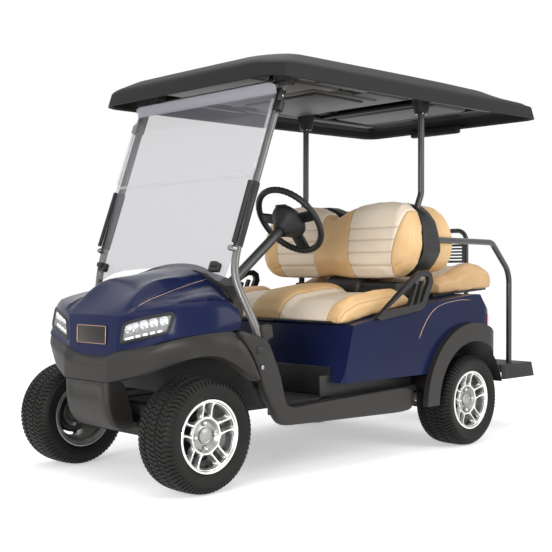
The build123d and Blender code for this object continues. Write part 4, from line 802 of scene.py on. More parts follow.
GREY_DEEP = (0.0155, 0.0138, 0.0125)
GREY_LIGHT = (0.024, 0.0214, 0.0195)
grey_plastic = material("grey_plastic", {"Specular IOR Level": 0.32}, grey_wires)
bumper_points = []
for count, row in enumerate(BUMPER_NET):
    x, y, z = row[0]
    tuck = (x * 0.965, y + 22, z + 13) if count < 7 else (x - 20, y + 4, z + 10 if count < 10 else z)
    bumper_points += [Vector(point) * MM for point in (tuck, *row)]
bumper_columns = len(BUMPER_NET[0]) + 1
bumper = piece_of(
    "bumper_cover", bumper_points,
    net_faces(len(BUMPER_NET), bumper_columns), grey_plastic,
)
creased(bumper, BUMPER_CREASES, bumper_columns)
faces_outward(bumper, (0, -1.0, 0.5))
smoothed(bumper, 3, mirror=True, wall=3.5 * MM)
shaded(bumper, 40)
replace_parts(bumper, "bumper")

# ---------------------------------------------------------------- cowl
# Grey moulding behind the hood's rear edge, clipped to it.
# It closes the gap to the dash and to the windscreen's foot.
COWL_RISE = ((-8, -4), (6, 4), (16, 16), (34, 20), (50, 10), (60, -30))
cowl_points = []
for back, rise in COWL_RISE:
    for x, y, z in HOOD_NET[-1]:
        full = 1 - 0.6 * (x / 440) ** 2
        narrowed = x * (1 - 0.012 * max(back, 0) / 60)
        cowl_points.append(Vector((
            narrowed, y + back * (0.35 + 0.65 * full), z + rise * (0.3 + 0.7 * full) - 2
        )) * MM)
cowl = piece_of(
    "cowl", cowl_points, net_faces(len(COWL_RISE), len(HOOD_NET[-1])), grey_plastic
)
faces_outward(cowl, (0, -1.0, 0.6))
smoothed(cowl, 2, mirror=True, wall=3 * MM)
shaded(cowl, 50)

# ---------------------------------------------------------------- chin guard
# Moulded grey guard with rounded corners and a shallow recess across its upper face.
# It is screwed to the underside of the bumper.
CHIN_HALF = 150
CHIN_LEVELS = (424, 412, 404, 398, 360, 354, 330, 296, 268, 246, 232, 227, 226)
CHIN_FRONT = (
    (424, -1361), (404, -1361), (330, -1357), (296, -1348), (268, -1335), (246, -1318), (232, -1300),
    (226, -1282),
)
CHIN_RECESS_X = 108
CHIN_RECESS_LOW, CHIN_RECESS_HIGH = 356, 402
CHIN_RECESS_DEPTH = 5
CHIN_CORNER = 24


def between(table, value):
    """Reads a table of (place, value) at a place, in a straight line between its rows."""
    rows = sorted(table)
    if value <= rows[0][0]:
        return rows[0][1]
    for (low, first), (high, second) in zip(rows, rows[1:]):
        if value <= high:
            return first + (second - first) * (value - low) / (high - low)
    return rows[-1][1]


chin_points = []
chin_columns = 0
for level, height in enumerate(CHIN_LEVELS):
    front = between(CHIN_FRONT, height)
    pinch = between(((226, 16), (246, 6), (268, 1), (300, 0)), height)
    half = CHIN_HALF - pinch
    row = []
    for x in (0, 60, CHIN_RECESS_X - 5, CHIN_RECESS_X + 2):
        inside = x < CHIN_RECESS_X and CHIN_RECESS_LOW < height < CHIN_RECESS_HIGH
        row.append((x, front + (CHIN_RECESS_DEPTH if inside else 0)))
    row.append((half - CHIN_CORNER - 2, front + 1))
    for step in range(1, 6):
        spin = radians(18 * step)
        row.append((
            half - CHIN_CORNER + CHIN_CORNER * sin(spin), front + CHIN_CORNER + 1 - CHIN_CORNER * cos(spin)
        ))
    rear = between(((226, -1212), (330, -1240), (424, -1272)), height)
    row.append((half, (front + rear) / 2))
    row.append((half, rear))
    chin_columns = len(row)
    chin_points += [Vector((x, y, height)) * MM for x, y in row]
chin = piece_of(
    "chin_guard", chin_points, net_faces(len(CHIN_LEVELS), chin_columns), grey_plastic
)
faces_outward(chin, (0, -1.25, 0.33))
smoothed(chin, 1, mirror=True, wall=4 * MM)
shaded(chin, 35)
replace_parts(chin, "chin")

# ---------------------------------------------------------------- front struts
# Bent steel tubes, powder-coated grey, from sockets in the rockers to bosses under the roof.
# Each bends at its knee beside the cowl, and two bolts hold its flattened top in a black bracket.
STRUT_KNEE = (463, -937, 965)
STRUT_HEAD = (473, -684, 1668)
STRUT_ROUTE = (
    (549, -884, 562), (545, -906, 640), (526, -928, 708), (500, -948, 776), (477, -957, 836),
    (467, -955, 890), STRUT_KNEE, STRUT_HEAD,
)
STRUT_TUBE = 16.5
STRUT_LEAN = atan2(STRUT_HEAD[1] - STRUT_KNEE[1], STRUT_HEAD[2] - STRUT_KNEE[2])


def tube_wires(wire):
    place, (_, _, z) = surface_coordinates(wire)
    fine = noise(wire, place, 900.0, 2.0)
    cloud = noise(wire, place, 8.0, 3.0)
    # Painted light: the tube's grey is lighter towards its foot, over tones that change at random.
    low = ramp(wire, z, (0.3, 1.0), (1.0, 0.0))
    return {
        "Base Color": ramp(wire, cloud * 0.7 + low * 0.2, (0.3, TUBE_DEEP), (0.8, TUBE_LIGHT)),
        "Roughness": fine * 0.12 + cloud * 0.1 + 0.24,
        "Height": (fine, 0.00006),
    }


TUBE_DEEP = (0.115, 0.112, 0.106)
TUBE_LIGHT = (0.170, 0.166, 0.158)
strut_coat = material(
    "strut_coat", {"Metallic": 0.35, "Coat Weight": 0.4, "Coat Roughness": 0.15}, tube_wires
)
zinc = material("zinc", {"Base Color": (0.26, 0.26, 0.27), "Metallic": 1.0}, chrome_wires)
strut_line = rounded_route([Vector(point) * MM for point in STRUT_ROUTE], 0.055, 7)
strut_tube = sweep("strut_tube", strut_line, STRUT_TUBE * MM, strut_coat, sides=24)


def on_strut(height, aside=0.0, ahead=0.0):
    """A point of the upper strut at a height, moved aside and ahead of its middle line, in millimetres."""
    share = (height - STRUT_KNEE[2]) / (STRUT_HEAD[2] - STRUT_KNEE[2])
    return Vector((
        STRUT_KNEE[0] + (STRUT_HEAD[0] - STRUT_KNEE[0]) * share + aside,
        STRUT_KNEE[1] + (STRUT_HEAD[1] - STRUT_KNEE[1]) * share - ahead * cos(STRUT_LEAN),
        height + ahead * sin(STRUT_LEAN),
    )) * MM


strut_facing = Matrix.Rotation(-STRUT_LEAN, 3, "X")
sleeve = sweep(
    "strut_sleeve", [on_strut(height) for height in (972, 976, 1236, 1240)],
    [value * MM for value in (17.5, 20.5, 20.5, 17.5)], black_plastic, sides=24,
)
bracket = block("strut_bracket", (0.030, 0.040, 0.105), on_strut(1590, 2), strut_facing, black_plastic, 0.006)
top_plate = block("strut_top_plate", (0.070, 0.074, 0.014), on_strut(1664), None, black_plastic, 0.004)
strut_bits = [strut_tube, sleeve, bracket, top_plate]
for height in (1568, 1610):
    strut_bits.append(turned(
        f"strut_bolt_{height}",
        ((-0.002, 0.0001), (-0.002, 0.007), (0.003, 0.0068), (0.0052, 0.0045), (0.0056, 0.0001)),
        on_strut(height, 17.6), (1, 0, 0), zinc, sides=16,
    ))
hinge_knob = turned(
    "strut_knob",
    ((-0.018, 0.0001), (-0.018, 0.010), (-0.004, 0.012), (0.012, 0.012), (0.018, 0.009), (0.020, 0.0001)),
    on_strut(958, -3, 22), (-0.35, -1, 0.2), zinc, sides=20,
)
strut_bits.append(hinge_knob)
strut = joined(strut_bits, "strut_left_dressed")
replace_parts(strut, "strut_left")
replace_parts(mirror_of(strut, "strut_right_dressed"), "strut_right")

# ---------------------------------------------------------------- windscreen
# Two sheets of tinted polycarbonate that meet at a clear joint strip. The lower one is arched over
# the hood and held by latches, the upper one curls forward at its top, and rubber channels edge both.
SCREEN_ORIGIN = (0, -858, 1261)
SCREEN_LEAN = STRUT_LEAN
SCREEN_WALL = 4.5 * MM
SCREEN_HALF = 478
ARCH = ((0, -392), (150, -396), (270, -404), (350, -417), (400, -434), (430, -447), (452, -449), (468, -436))


def on_screen(x, up, ahead=0.0):
    """A point of the windscreen, x across and up along it from the joint, in millimetres."""
    return Vector((
        x, SCREEN_ORIGIN[1] + up * sin(SCREEN_LEAN) - ahead * cos(SCREEN_LEAN),
        SCREEN_ORIGIN[2] + up * cos(SCREEN_LEAN) + ahead * sin(SCREEN_LEAN),
    )) * MM


def screen_wires(wire):
    place = surface_coordinates(wire)[0]
    haze = noise(wire, place, 7.0, 3.0)
    return {"Roughness": haze * 0.05 + 0.04, "Height": (noise(wire, place, 3.0), 0.0004)}


tinted = material(
    "tinted_screen", {"Base Color": (0.24, 0.24, 0.27), "Alpha": 0.27, "Specular IOR Level": 0.5},
    screen_wires
)
clear_strip = material(
    "clear_strip", {"Base Color": (0.62, 0.62, 0.64), "Alpha": 0.32, "Specular IOR Level": 0.5},
    screen_wires
)
curl_tint = material(
    "curl_tint", {"Base Color": (0.42, 0.42, 0.47), "Alpha": 0.62, "Specular IOR Level": 0.5}, screen_wires
)
across = (0, 150, 270, 350, 400, 430, 452, 468, SCREEN_HALF)
lower_points = []
for rise in (None, -330, -250, -120, 1):
    for x in across:
        up = between(ARCH, x) if rise is None else rise
        taper = 1 - 0.075 * max(0.0, (-250 - up) / 190)
        lower_points.append(on_screen(x * taper, up, up * 0.045))
lower_screen = piece_of("screen_lower", lower_points, net_faces(5, len(across)), tinted)
smoothed(lower_screen, 0, mirror=True, wall=SCREEN_WALL, outward=0.0)
shaded(lower_screen, 30)
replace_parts(lower_screen, "windscreen_lower")
CURL = ((3, 0), (200, 0), (362, 0), (378, 1), (388, 4), (398, 10), (408, 18), (415, 25), (419, 31))
upper_points = []
for rise, ahead in CURL:
    for x in (0, 240, 400, 440, 462, 473, SCREEN_HALF):
        droop = 10 * max(0, (x - 440) / 38) ** 2 if rise > 390 else 0
        upper_points.append(on_screen(x, rise - droop, ahead - droop * 0.6))
upper_screen = piece_of("screen_upper", upper_points, net_faces(len(CURL), 7), tinted)
upper_screen.data.materials.append(curl_tint)
for polygon in upper_screen.data.polygons:
    if polygon.center.z > on_screen(0, 374).z:
        polygon.material_index = 1
smoothed(upper_screen, 0, mirror=True, wall=SCREEN_WALL, outward=0.0)
shaded(upper_screen, 40)
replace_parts(upper_screen, "windscreen_upper")
joint_points = [on_screen(x, up, 3) for up in (-2, -1, 12, 13) for x in (0, 240, 470)]
joint_strip = piece_of("screen_joint", joint_points, net_faces(4, 3), clear_strip)
smoothed(joint_strip, 0, mirror=True, wall=2.4 * MM, outward=0.0)
shaded(joint_strip, 40)
channel_bits = []
for name, low, high, side, ahead, finish in (
    ("low", -292, -18, 470, 6, black_plastic), ("high", 22, 352, 474, 5, clear_strip),
):
    length = (on_screen(side, high) - on_screen(side, low)).length
    channel_bits.append(block(
        f"screen_channel_{name}", (0.019 if name == "low" else 0.012, 0.014, length),
        (on_screen(side, low, ahead) + on_screen(side, high, ahead)) / 2, strut_facing, finish, 0.005,
    ))
channel = joined(channel_bits, "screen_channel_left_dressed")
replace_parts(channel, "screen_channel_left")
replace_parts(mirror_of(channel, "screen_channel_right_dressed"), "screen_channel_right")
latch_bits = [
    block("latch_body", (0.058, 0.026, 0.040), on_screen(392, -398, 2), strut_facing, black_plastic, 0.008),
    block(
        "latch_lever", (0.040, 0.016, 0.022), on_screen(400, -388, 18),
        strut_facing @ Matrix.Rotation(radians(14), 3, "X"), black_plastic, 0.006
    ),
]
latch = joined(latch_bits, "screen_latch_left")
mirror_of(latch, "screen_latch_right")
catch = block(
    "screen_catch_left", (0.030, 0.030, 0.046), on_strut(1560, 26, 6), strut_facing, black_plastic, 0.005,
)
mirror_of(catch, "screen_catch_right")

# ---------------------------------------------------------------- rockers
# Grey mouldings that rise in an S from the step-in sill to the hood's side, clipped to the frame.
# A cap closes each strut's socket and a dark clamp stands behind it.
ROCKER_LINE = (
    # front or lower edge, rear or upper edge, as (y, z)
    ((-1016, 630), (-1000, 640)), ((-990, 590), (-938, 618)), ((-957, 552), (-862, 604)),
    ((-932, 513), (-838, 556)), ((-911, 469), (-811, 502)), ((-897, 430), (-791, 458)),
    ((-880, 390), (-775, 408)), ((-858, 349), (-764, 362)), ((-834, 308), (-754, 332)),
    ((-812, 270), (-735, 315)), ((-792, 246), (-700, 309)), ((-765, 236), (-668, 310)),
    ((-735, 233), (-640, 312)), ((-429, 225), (-429, 322)), ((-60, 216), (-60, 333)),
    ((124, 212), (118, 336)),
)
ROCKER_BOLT = (0.5735, -0.899, 0.486)
rocker_points = []
for front, rear in ROCKER_LINE:
    front, rear = Vector((0, *front)), Vector((0, *rear))
    inward = (rear - front).normalized()
    wide = (rear - front).length
    narrow, broad = min(3, wide * 0.1), min(9, wide * 0.3)
    for x, reach in (
        (514, 0), (556, 0), (567, narrow), (572.5, broad), (573.5, wide * 0.5), (572.5, wide - broad),
        (567, wide - narrow), (556, wide), (514, wide),
    ):
        point = front + inward * reach
        rocker_points.append(Vector((x, point.y, point.z)) * MM)
rocker_faces = net_faces(len(ROCKER_LINE), 9, closed=True)
rocker_faces += [tuple(range(9)), tuple(reversed(range(len(rocker_points) - 9, len(rocker_points))))]
rocker = piece_of("rocker_skin", rocker_points, rocker_faces, grey_plastic)
faces_aligned(rocker)
smoothed(rocker, 2)
shaded(rocker, 50)
rocker_bits = [
    rocker,
    block(
        "strut_socket", (0.008, 0.052, 0.030), (0.5735, -0.903, 0.556), Matrix.Rotation(radians(4), 3, "X"),
        black_plastic, 0.004
    ),
    block(
        "strut_clamp", (0.034, 0.062, 0.056), (0.556, -0.868, 0.626), Matrix.Rotation(radians(8), 3, "X"),
        grey_plastic, 0.009
    ),
    block(
        "strut_shim", (0.012, 0.050, 0.012), (0.548, -0.864, 0.594), Matrix.Rotation(radians(8), 3, "X"),
        black_plastic, 0.003
    ),
    turned(
        "rocker_bolt", ((-0.002, 0.0001), (-0.002, 0.010), (0.002, 0.0096), (0.0046, 0.006), (0.005, 0.0001)),
        ROCKER_BOLT, (1, 0, 0), zinc, sides=18,
    ),
    turned(
        "rocker_bolt_rim", ((-0.002, 0.0001), (-0.002, 0.0135), (0.0008, 0.0130), (0.001, 0.0001)),
        ROCKER_BOLT, (1, 0, 0), black_plastic, sides=24,
    ),
]
rocker = joined(rocker_bits, "rocker_left_dressed")
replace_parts(rocker, "rocker_left")
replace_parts(mirror_of(rocker, "rocker_right_dressed"), "rocker_right")

# ---------------------------------------------------------------- sill strips
# Black angles that close the gaps between the floor, the rear body and the rockers.
# The flat side of each rests on the rocker's flange and its upright side stands inside the body.
sill_lean = Matrix.Rotation(radians(1.8), 3, "X")
sill = joined([
    block("sill_strip", (0.048, 0.950, 0.026), (0.521, -0.325, 0.305), sill_lean, black_plastic, 0.005),
    block("sill_upright", (0.010, 0.640, 0.120), (0.503, -0.170, 0.366), sill_lean, black_plastic, 0.003),
], "sill_left")
mirror_of(sill, "sill_right")

# ---------------------------------------------------------------- body trim
# A fine bronze line inlaid in the body side above the rear wheel and a dark gasket along the front
# of the seat's opening. Both are bonded in grooves of the navy moulding.
PINSTRIPE = (
    (112, 552), (128, 580), (150, 612), (180, 648), (216, 680), (262, 704), (330, 720), (400, 728),
    (457, 733), (544, 730)
)
stripe_bits = []
for hand in (-1, 1):
    stripe_line = rounded_route([Vector((585.4 * hand, y, z)) * MM for y, z in PINSTRIPE], 0.03, 4)
    stripe_radii = [0.0005] + [0.0021] * (len(stripe_line) - 2) + [0.0005]
    stripe_bits.append(sweep(f"pinstripe_{hand}", stripe_line, stripe_radii, bronze, sides=8))
stripe = joined(stripe_bits, "body_pinstripe")
sweep(
    "seat_gasket",
    rounded_route(
        [Vector(point) * MM for point in ((-566, -354, 640), (0, -356, 639), (566, -354, 640))], 0.03, 5
    ),
    0.0045, black_plastic, sides=10,
)

# ---------------------------------------------------------------- tyres
# Low-pressure rubber tyres with wavy grooves across a rounded tread that open into shoulder lugs.
# Each is one moulding that grips its wheel's two seats.
TYRE_PITCHES = 72
TYRE_STEPS = ((0.0, 0.0), (0.30, 0.0), (0.56, 0.0), (0.64, 1.0), (0.90, 1.0), (0.97, 0.0))
TYRE_PROFILE = (
    # along the axle and out from it in millimetres, groove depth there
    (79, 128, 0), (80, 141, 0), (86, 149, 0), (92, 153, 0), (95, 160, 0), (98, 170, 0), (101, 181, 0),
    (102, 189, 0), (101.6, 193, 1.5), (100, 199, 4), (96, 206, 6.5), (91, 213, 7.5), (85, 218.5, 7.5),
    (78, 222.5, 7), (72, 224.5, 6.5), (65, 226, 5.5), (58, 227, 5), (51, 227.7, 5), (44, 228.2, 5),
    (38, 228.5, 5), (35, 228.6, 5), (33.5, 224.5, 2), (28.5, 224.5, 2), (27, 228.8, 5), (20, 229, 5),
    (13, 229, 5), (6, 229, 5), (0, 229, 5),
)
TYRE_RADIUS = 229
TYRE_SHOULDER = 95
TYRE_WAVE = 5.5
TYRE_WAVE_LENGTH = 52
wheel_places = {}
for end in ("front", "rear"):
    for side in ("left", "right"):
        corners = [
            nodes[f"tyre_{end}_{side}"].matrix_world @ Vector(corner)
            for corner in nodes[f"tyre_{end}_{side}"].bound_box
        ]
        wheel_places[f"{end}_{side}"] = sum(corners, Vector()) / 8


RUBBER_DEEP = (0.0050, 0.0046, 0.0041)
RUBBER_DUSTY = (0.0108, 0.0099, 0.0087)
rubber = material("rubber", {"Specular IOR Level": 0.22}, speckled(
    ((0.3, RUBBER_DEEP), (0.75, RUBBER_DUSTY)), (14.0, 4.0, 0.6), (500.0, 3.0), (0.1, 0.2, 0.42), 0.00018
))
tyre_rows = list(TYRE_PROFILE) + [(-along, out, depth) for along, out, depth in reversed(TYRE_PROFILE[:-1])]
tyre_rows += [
    (-66, 128, 0), (-86, 168, 0), (-88, 190, 0), (-70, 211, 0), (70, 211, 0), (88, 190, 0), (86, 168, 0),
    (66, 128, 0)
]
tyre_columns = TYRE_PITCHES * len(TYRE_STEPS)
tyre_points = []
for along, out, depth in tyre_rows:
    fade = min(1, abs(TYRE_SHOULDER - abs(along)) / 12) if depth else 0
    wave = TYRE_WAVE * sin(2 * pi * along / TYRE_WAVE_LENGTH) * fade / TYRE_RADIUS
    for pitch in range(TYRE_PITCHES):
        for share, cut in TYRE_STEPS:
            turn = 2 * pi * (pitch + share) / TYRE_PITCHES + wave
            length = out - depth * cut
            tyre_points.append(Vector((along, length * cos(turn), length * sin(turn))) * MM)
tyre_faces = net_faces(len(tyre_rows), tyre_columns, closed=True)
last = (len(tyre_rows) - 1) * tyre_columns
tyre_faces += [
    (last + step, last + (step + 1) % tyre_columns, (step + 1) % tyre_columns, step)
    for step in range(tyre_columns)
]
for name, place in wheel_places.items():
    tyre = piece_of(f"tyre_skin_{name}", tyre_points, tyre_faces, rubber, f"wheel_{name}")
    tyre.data.transform(Matrix.Translation(place))
    shaded(faces_aligned(tyre), 38)
    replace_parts(tyre, f"tyre_{name}")

# ---------------------------------------------------------------- alloy wheels
# Cast wheels with five pairs of ridged spokes, the ridges and lip turned bright and the rest
# silver. Four nuts hold each to its hub round a bare centre cap; a valve stands in one window.
SPOKE_PAIRS = 5
SPOKE_PAIR_FIRST = 18
PAIR_POINTS = 10
RIM_LIP_ALONG, RIM_LIP_OUT = 0.0795, 0.133
SPOKE_ROWS = (
    # radius, height of the face, angles of the narrow window, the two ridges and the wide window,
    # depth of the edges, window open
    (66, 62, 12.5, 15.0, 24.0, 30.0, 0, False), (69, 66, 12.5, 15.0, 23.0, 30.0, 0, False),
    (74, 67, 11.5, 14.2, 21.5, 30.0, 1, False), (79, 67.5, 10.4, 13.6, 19.6, 30.0, 9, False),
    (86, 68.5, 9.0, 12.6, 17.4, 26.0, 19, True), (95, 70, 7.6, 11.4, 15.4, 21.2, 23, True),
    (106, 73, 6.4, 10.2, 13.7, 18.6, 23, True), (116, 76, 5.6, 9.5, 12.8, 17.8, 20, True),
    (123, 78.5, 5.0, 9.2, 12.8, 19.0, 14, True), (127.5, 80, 4.2, 9.0, 14.0, 23.0, 7, False),
    (131, 81.5, 4.2, 9.0, 15.0, 24.0, 0, False), (134, 82, 4.2, 9.0, 15.0, 24.0, 0, False),
)
RIM_BARREL = (
    (82, 134), (84, 135), (88.5, 137), (89.6, 140), (89, 144.5), (87, 146.3), (83, 146), (80, 142),
    (78, 131), (66, 128), (60, 127.8), (40, 127.5), (24, 110), (-28, 109), (-46, 127), (-76, 127.5),
    (-80, 142), (-84, 146), (-88, 145.5), (-89, 141), (-84, 138), (-78, 123), (-46, 121), (-30, 104),
    (24, 104.5), (36, 118), (44, 123.5), (60, 124.5), (74, 126), (79, 131), (82, 134),
)


def alloy_wires(wire):
    place = surface_coordinates(wire)[0]
    return {
        "Roughness": noise(wire, place, 80.0, 3.0) * 0.12 + 0.16,
        "Height": (noise(wire, place, 900.0), 0.00004)
    }


bright_alloy = material("bright_alloy", {"Base Color": (0.80, 0.80, 0.78), "Metallic": 1.0}, alloy_wires)
silver_alloy = material("silver_alloy", {"Metallic": 0.85}, speckled(
    ((0.3, (0.30, 0.30, 0.29)), (0.8, (0.40, 0.40, 0.39))), (30.0, 3.0), (1400.0,), (0.0, 0.12, 0.3), 0.00004
))
rim_rows = len(SPOKE_ROWS)
rim_points, rim_faces, rim_bright = [], [], []
for radius, height, narrow, ridge_in, ridge_out, wide, edge, opened in SPOKE_ROWS:
    for pair in range(SPOKE_PAIRS):
        centre = SPOKE_PAIR_FIRST + 360 / SPOKE_PAIRS * pair
        for angle, depth in (
            (-36, edge), (-wide, edge), (-ridge_out, 0), (-ridge_in, 0), (-narrow, edge),
            (0, edge), (narrow, edge), (ridge_in, 0), (ridge_out, 0), (wide, edge),
        ):
            turn = radians(centre + angle)
            rim_points.append(Vector((height - depth, radius * cos(turn), radius * sin(turn))) * MM)
rim_columns = SPOKE_PAIRS * PAIR_POINTS
for row in range(rim_rows - 1):
    for column in range(rim_columns):
        kind = column % PAIR_POINTS
        window = kind in (0, 9, 4, 5)
        if window and (SPOKE_ROWS[row][7] or SPOKE_ROWS[row + 1][7]):
            continue
        after = (column + 1) % rim_columns
        rim_faces.append((
            row * rim_columns + column, row * rim_columns + after,
            (row + 1) * rim_columns + after, (row + 1) * rim_columns + column,
        ))
        rim_bright.append(kind in (2, 7) or row in (0, 1) or row >= rim_rows - 2)
HUB_RECESS = (
    (63.5, 67.5), (64, 65), (61, 62), (52, 58), (49, 55), (48.5, 38), (51, 34), (51, 31), (40, 30),
    (20, 30), (-14, 30), (-14, 60), (40, 64), (60, 69), (63.5, 67.5),
)
CENTRE_CAP = (
    (50, 32), (58, 31.5), (60.5, 30), (61.5, 27.5), (61, 26), (60.4, 24), (61.6, 21), (62.4, 12),
    (62.7, 0.1),
)
BRAKE_DRUM = ((-12, 30), (-12, 84), (-4, 90), (12, 90), (18, 84), (18, 32))
NUT_CIRCLE = 50.8
NUT_SEAT = ((49.5, 13), (50.5, 12.5), (46.5, 8.5))
WHEEL_NUT = ((45, 9.6), (58, 9.4), (61, 8.2), (64, 5.0), (65, 0.1))
VALVE_STEM = ((62, 121), (68, 117), (76, 112), (80, 109.5))


def rim_piece(name, place, hand):
    """One dressed wheel at a place, with its outer face to the left or mirrored to the right."""
    body = f"wheel_{name}"
    face = piece_of(f"rim_face_{name}", rim_points, rim_faces, silver_alloy)
    face.data.materials.append(bright_alloy)
    for polygon, bright in zip(face.data.polygons, rim_bright):
        polygon.material_index = 1 if bright else 0
    crease = face.data.attributes.new("crease_edge", "FLOAT", "EDGE")
    for edge in face.data.edges:
        first, second = sorted(edge.vertices)
        columns = (first % rim_columns % PAIR_POINTS, second % rim_columns % PAIR_POINTS)
        if columns[0] == columns[1] and columns[0] in (2, 3, 7, 8):
            crease.data[edge.index].value = 0.75
    faces_outward(face, (-0.3, 0, 0))
    smoothed(face, 2, wall=6 * MM)
    shaded(face, 45)
    barrel = turned(
        f"barrel_{name}", [(along * MM, out * MM) for along, out in RIM_BARREL],
        (0, 0, 0), (1, 0, 0), silver_alloy, sides=96,
    )
    barrel.data.materials.append(bright_alloy)
    for polygon in barrel.data.polygons:
        out = hypot(polygon.center.y, polygon.center.z)
        polygon.material_index = 1 if polygon.center.x > RIM_LIP_ALONG and out > RIM_LIP_OUT else 0
    parts = [face, barrel]
    parts.append(turned(
        f"hub_recess_{name}", [(along * MM, out * MM) for along, out in HUB_RECESS],
        (0, 0, 0), (1, 0, 0), silver_alloy, sides=64,
    ))
    parts.append(turned(
        f"centre_cap_{name}", [(along * MM, out * MM) for along, out in CENTRE_CAP],
        (0, 0, 0), (1, 0, 0), silver_alloy, sides=48,
    ))
    parts.append(turned(
        f"drum_{name}", [(along * MM, out * MM) for along, out in BRAKE_DRUM],
        (0, 0, 0), (1, 0, 0), black_plastic, sides=48,
    ))
    for nut in range(4):
        turn = radians(90 * nut + 3)
        where = (0, NUT_CIRCLE * MM * cos(turn), NUT_CIRCLE * MM * sin(turn))
        parts.append(turned(
            f"nut_seat_{name}_{nut}", [(along * MM, out * MM) for along, out in NUT_SEAT],
            where, (1, 0, 0), black_plastic, sides=20,
        ))
        parts.append(turned(
            f"nut_{name}_{nut}", [(along * MM, out * MM) for along, out in WHEEL_NUT],
            where, (1, 0, 0), bright_alloy, sides=6, angle=25,
        ))
    turn = radians(SPOKE_PAIR_FIRST - 108)
    stem = [Vector((x, out * cos(turn), out * sin(turn))) * MM for x, out in VALVE_STEM]
    parts.append(
        sweep(f"valve_{name}", stem, [4.4 * MM, 4.0 * MM, 3.4 * MM, 3.6 * MM], black_plastic, sides=10)
    )
    wheel = joined(parts, f"rim_cast_{name}")
    if hand < 0:
        wheel.data.transform(Matrix.Scale(-1, 4, (1, 0, 0)))
        wheel.data.flip_normals()
    wheel.data.transform(Matrix.Translation(place))
    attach(wheel, body)
    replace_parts(wheel, f"rim_{name}")


for name, place in wheel_places.items():
    rim_piece(name, place, 1 if name.endswith("left") else -1)

# ---------------------------------------------------------------- seats
# Foam cushions under tan and beige vinyl, sewn from panels: tan bolsters at the ends and middle,
# beige panels with sewn channels between. The front seat lifts on its pan; backrests bolt to pods.
VOXEL = 11 * MM
CLOTH_PRESSURE = 4.0
CLOTH_FRAMES = 20
SEAT_SHIFT = 32
TAN = (0.800, 0.540, 0.275)
TAN_DEEP = (0.720, 0.455, 0.210)
BEIGE = (0.890, 0.770, 0.620)
BEIGE_DEEP = (0.830, 0.700, 0.540)
# Brown of the seam lines, also laid along the channels as painted shade.
SEAM_AND_GROOVE_SHADE_BROWN = (0.260, 0.140, 0.080)


def ease(low, high, value):
    """0 below low, 1 above high and a soft step between."""
    share = min(max((value - low) / (high - low), 0.0), 1.0)
    return share * share * (3 - 2 * share)


def stuffed(name, stations, section, finish):
    """A closed cushion from sections across the cart. section gives a loop of (y, z) at x, in millimetres."""
    loops = [section(x) for x in stations]
    count = len(loops[0])
    points = [Vector((x, y, z)) * MM for x, loop in zip(stations, loops) for y, z in loop]
    faces = net_faces(len(stations), count, closed=True)
    faces += [tuple(range(count)), tuple(reversed(range(len(points) - count, len(points))))]
    return piece_of(name, points, faces, finish)


def plumped(piece, name, swell, body="chassis"):
    """Fills a cushion: its skin is remeshed and blown up as cloth, and no point moves further than swell."""
    skin = bpy.data.objects.new(name, piece.data.copy())
    bpy.context.scene.collection.objects.link(skin)
    bpy.data.objects.remove(piece)
    even = skin.modifiers.new("even", "REMESH")
    even.mode = "VOXEL"
    even.voxel_size = VOXEL
    baked(skin)
    start = [vertex.co.copy() for vertex in skin.data.vertices]
    cloth = skin.modifiers.new("cloth", "CLOTH")
    cloth.settings.quality = 4
    cloth.settings.mass = 0.3
    cloth.settings.use_pressure = True
    cloth.settings.uniform_pressure_force = CLOTH_PRESSURE
    cloth.settings.effector_weights.gravity = 0
    cloth.point_cache.frame_start = 1
    cloth.point_cache.frame_end = CLOTH_FRAMES
    for frame_number in range(1, CLOTH_FRAMES + 1):
        bpy.context.scene.frame_set(frame_number)
    baked(skin)
    for vertex, place in zip(skin.data.vertices, start):
        step = vertex.co - place
        if step.length > swell:
            vertex.co = place + step * (swell / step.length)
    bpy.context.scene.frame_set(1)
    soft = skin.modifiers.new("soft", "SUBSURF")
    soft.levels = soft.render_levels = 1
    baked(skin)
    skin.data.polygons.foreach_set("use_smooth", [True] * len(skin.data.polygons))
    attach(skin, body)
    return skin


def sewn(piece, depth):
    """Presses seams and channels into a cushion by a depth in millimetres at each point and normal."""
    mesh = piece.data
    normals = [vertex.normal.copy() for vertex in mesh.vertices]
    for vertex, normal in zip(mesh.vertices, normals):
        vertex.co -= normal * depth(vertex.co / MM, normal) * MM
    mesh.update()
    return piece


def groove(distance, width, depth):
    """A soft channel of a depth at a distance from its middle."""
    return depth * exp(-(distance / width) ** 2)


def panel_seam(edge, height):
    """How far from the cushion's middle a panel's seam lies at a height, both in millimetres."""
    out, lean, level = edge
    return out / MM + lean * (height - level / MM)


def seam_depths(edges, deep, hidden, channels=(), extra=None):
    """How deep a cushion is pressed in at a point: panel seams, channels between them and an extra seam.
    hidden tells from the normal where nothing shows."""

    def depth(place, normal):
        if hidden(normal):
            return 0.0
        across = abs(place.x - SEAT_SHIFT)
        inner, outer = [panel_seam(edge, place.z) for edge in edges]
        total = groove(across - inner, 5, deep) + groove(across - outer, 5, deep)
        if inner < across < outer:
            total += sum(groove(place.z - height / MM, 6.5, 4.5) for height in channels)
        return total + (extra(place, across, outer) if extra else 0.0)

    return depth


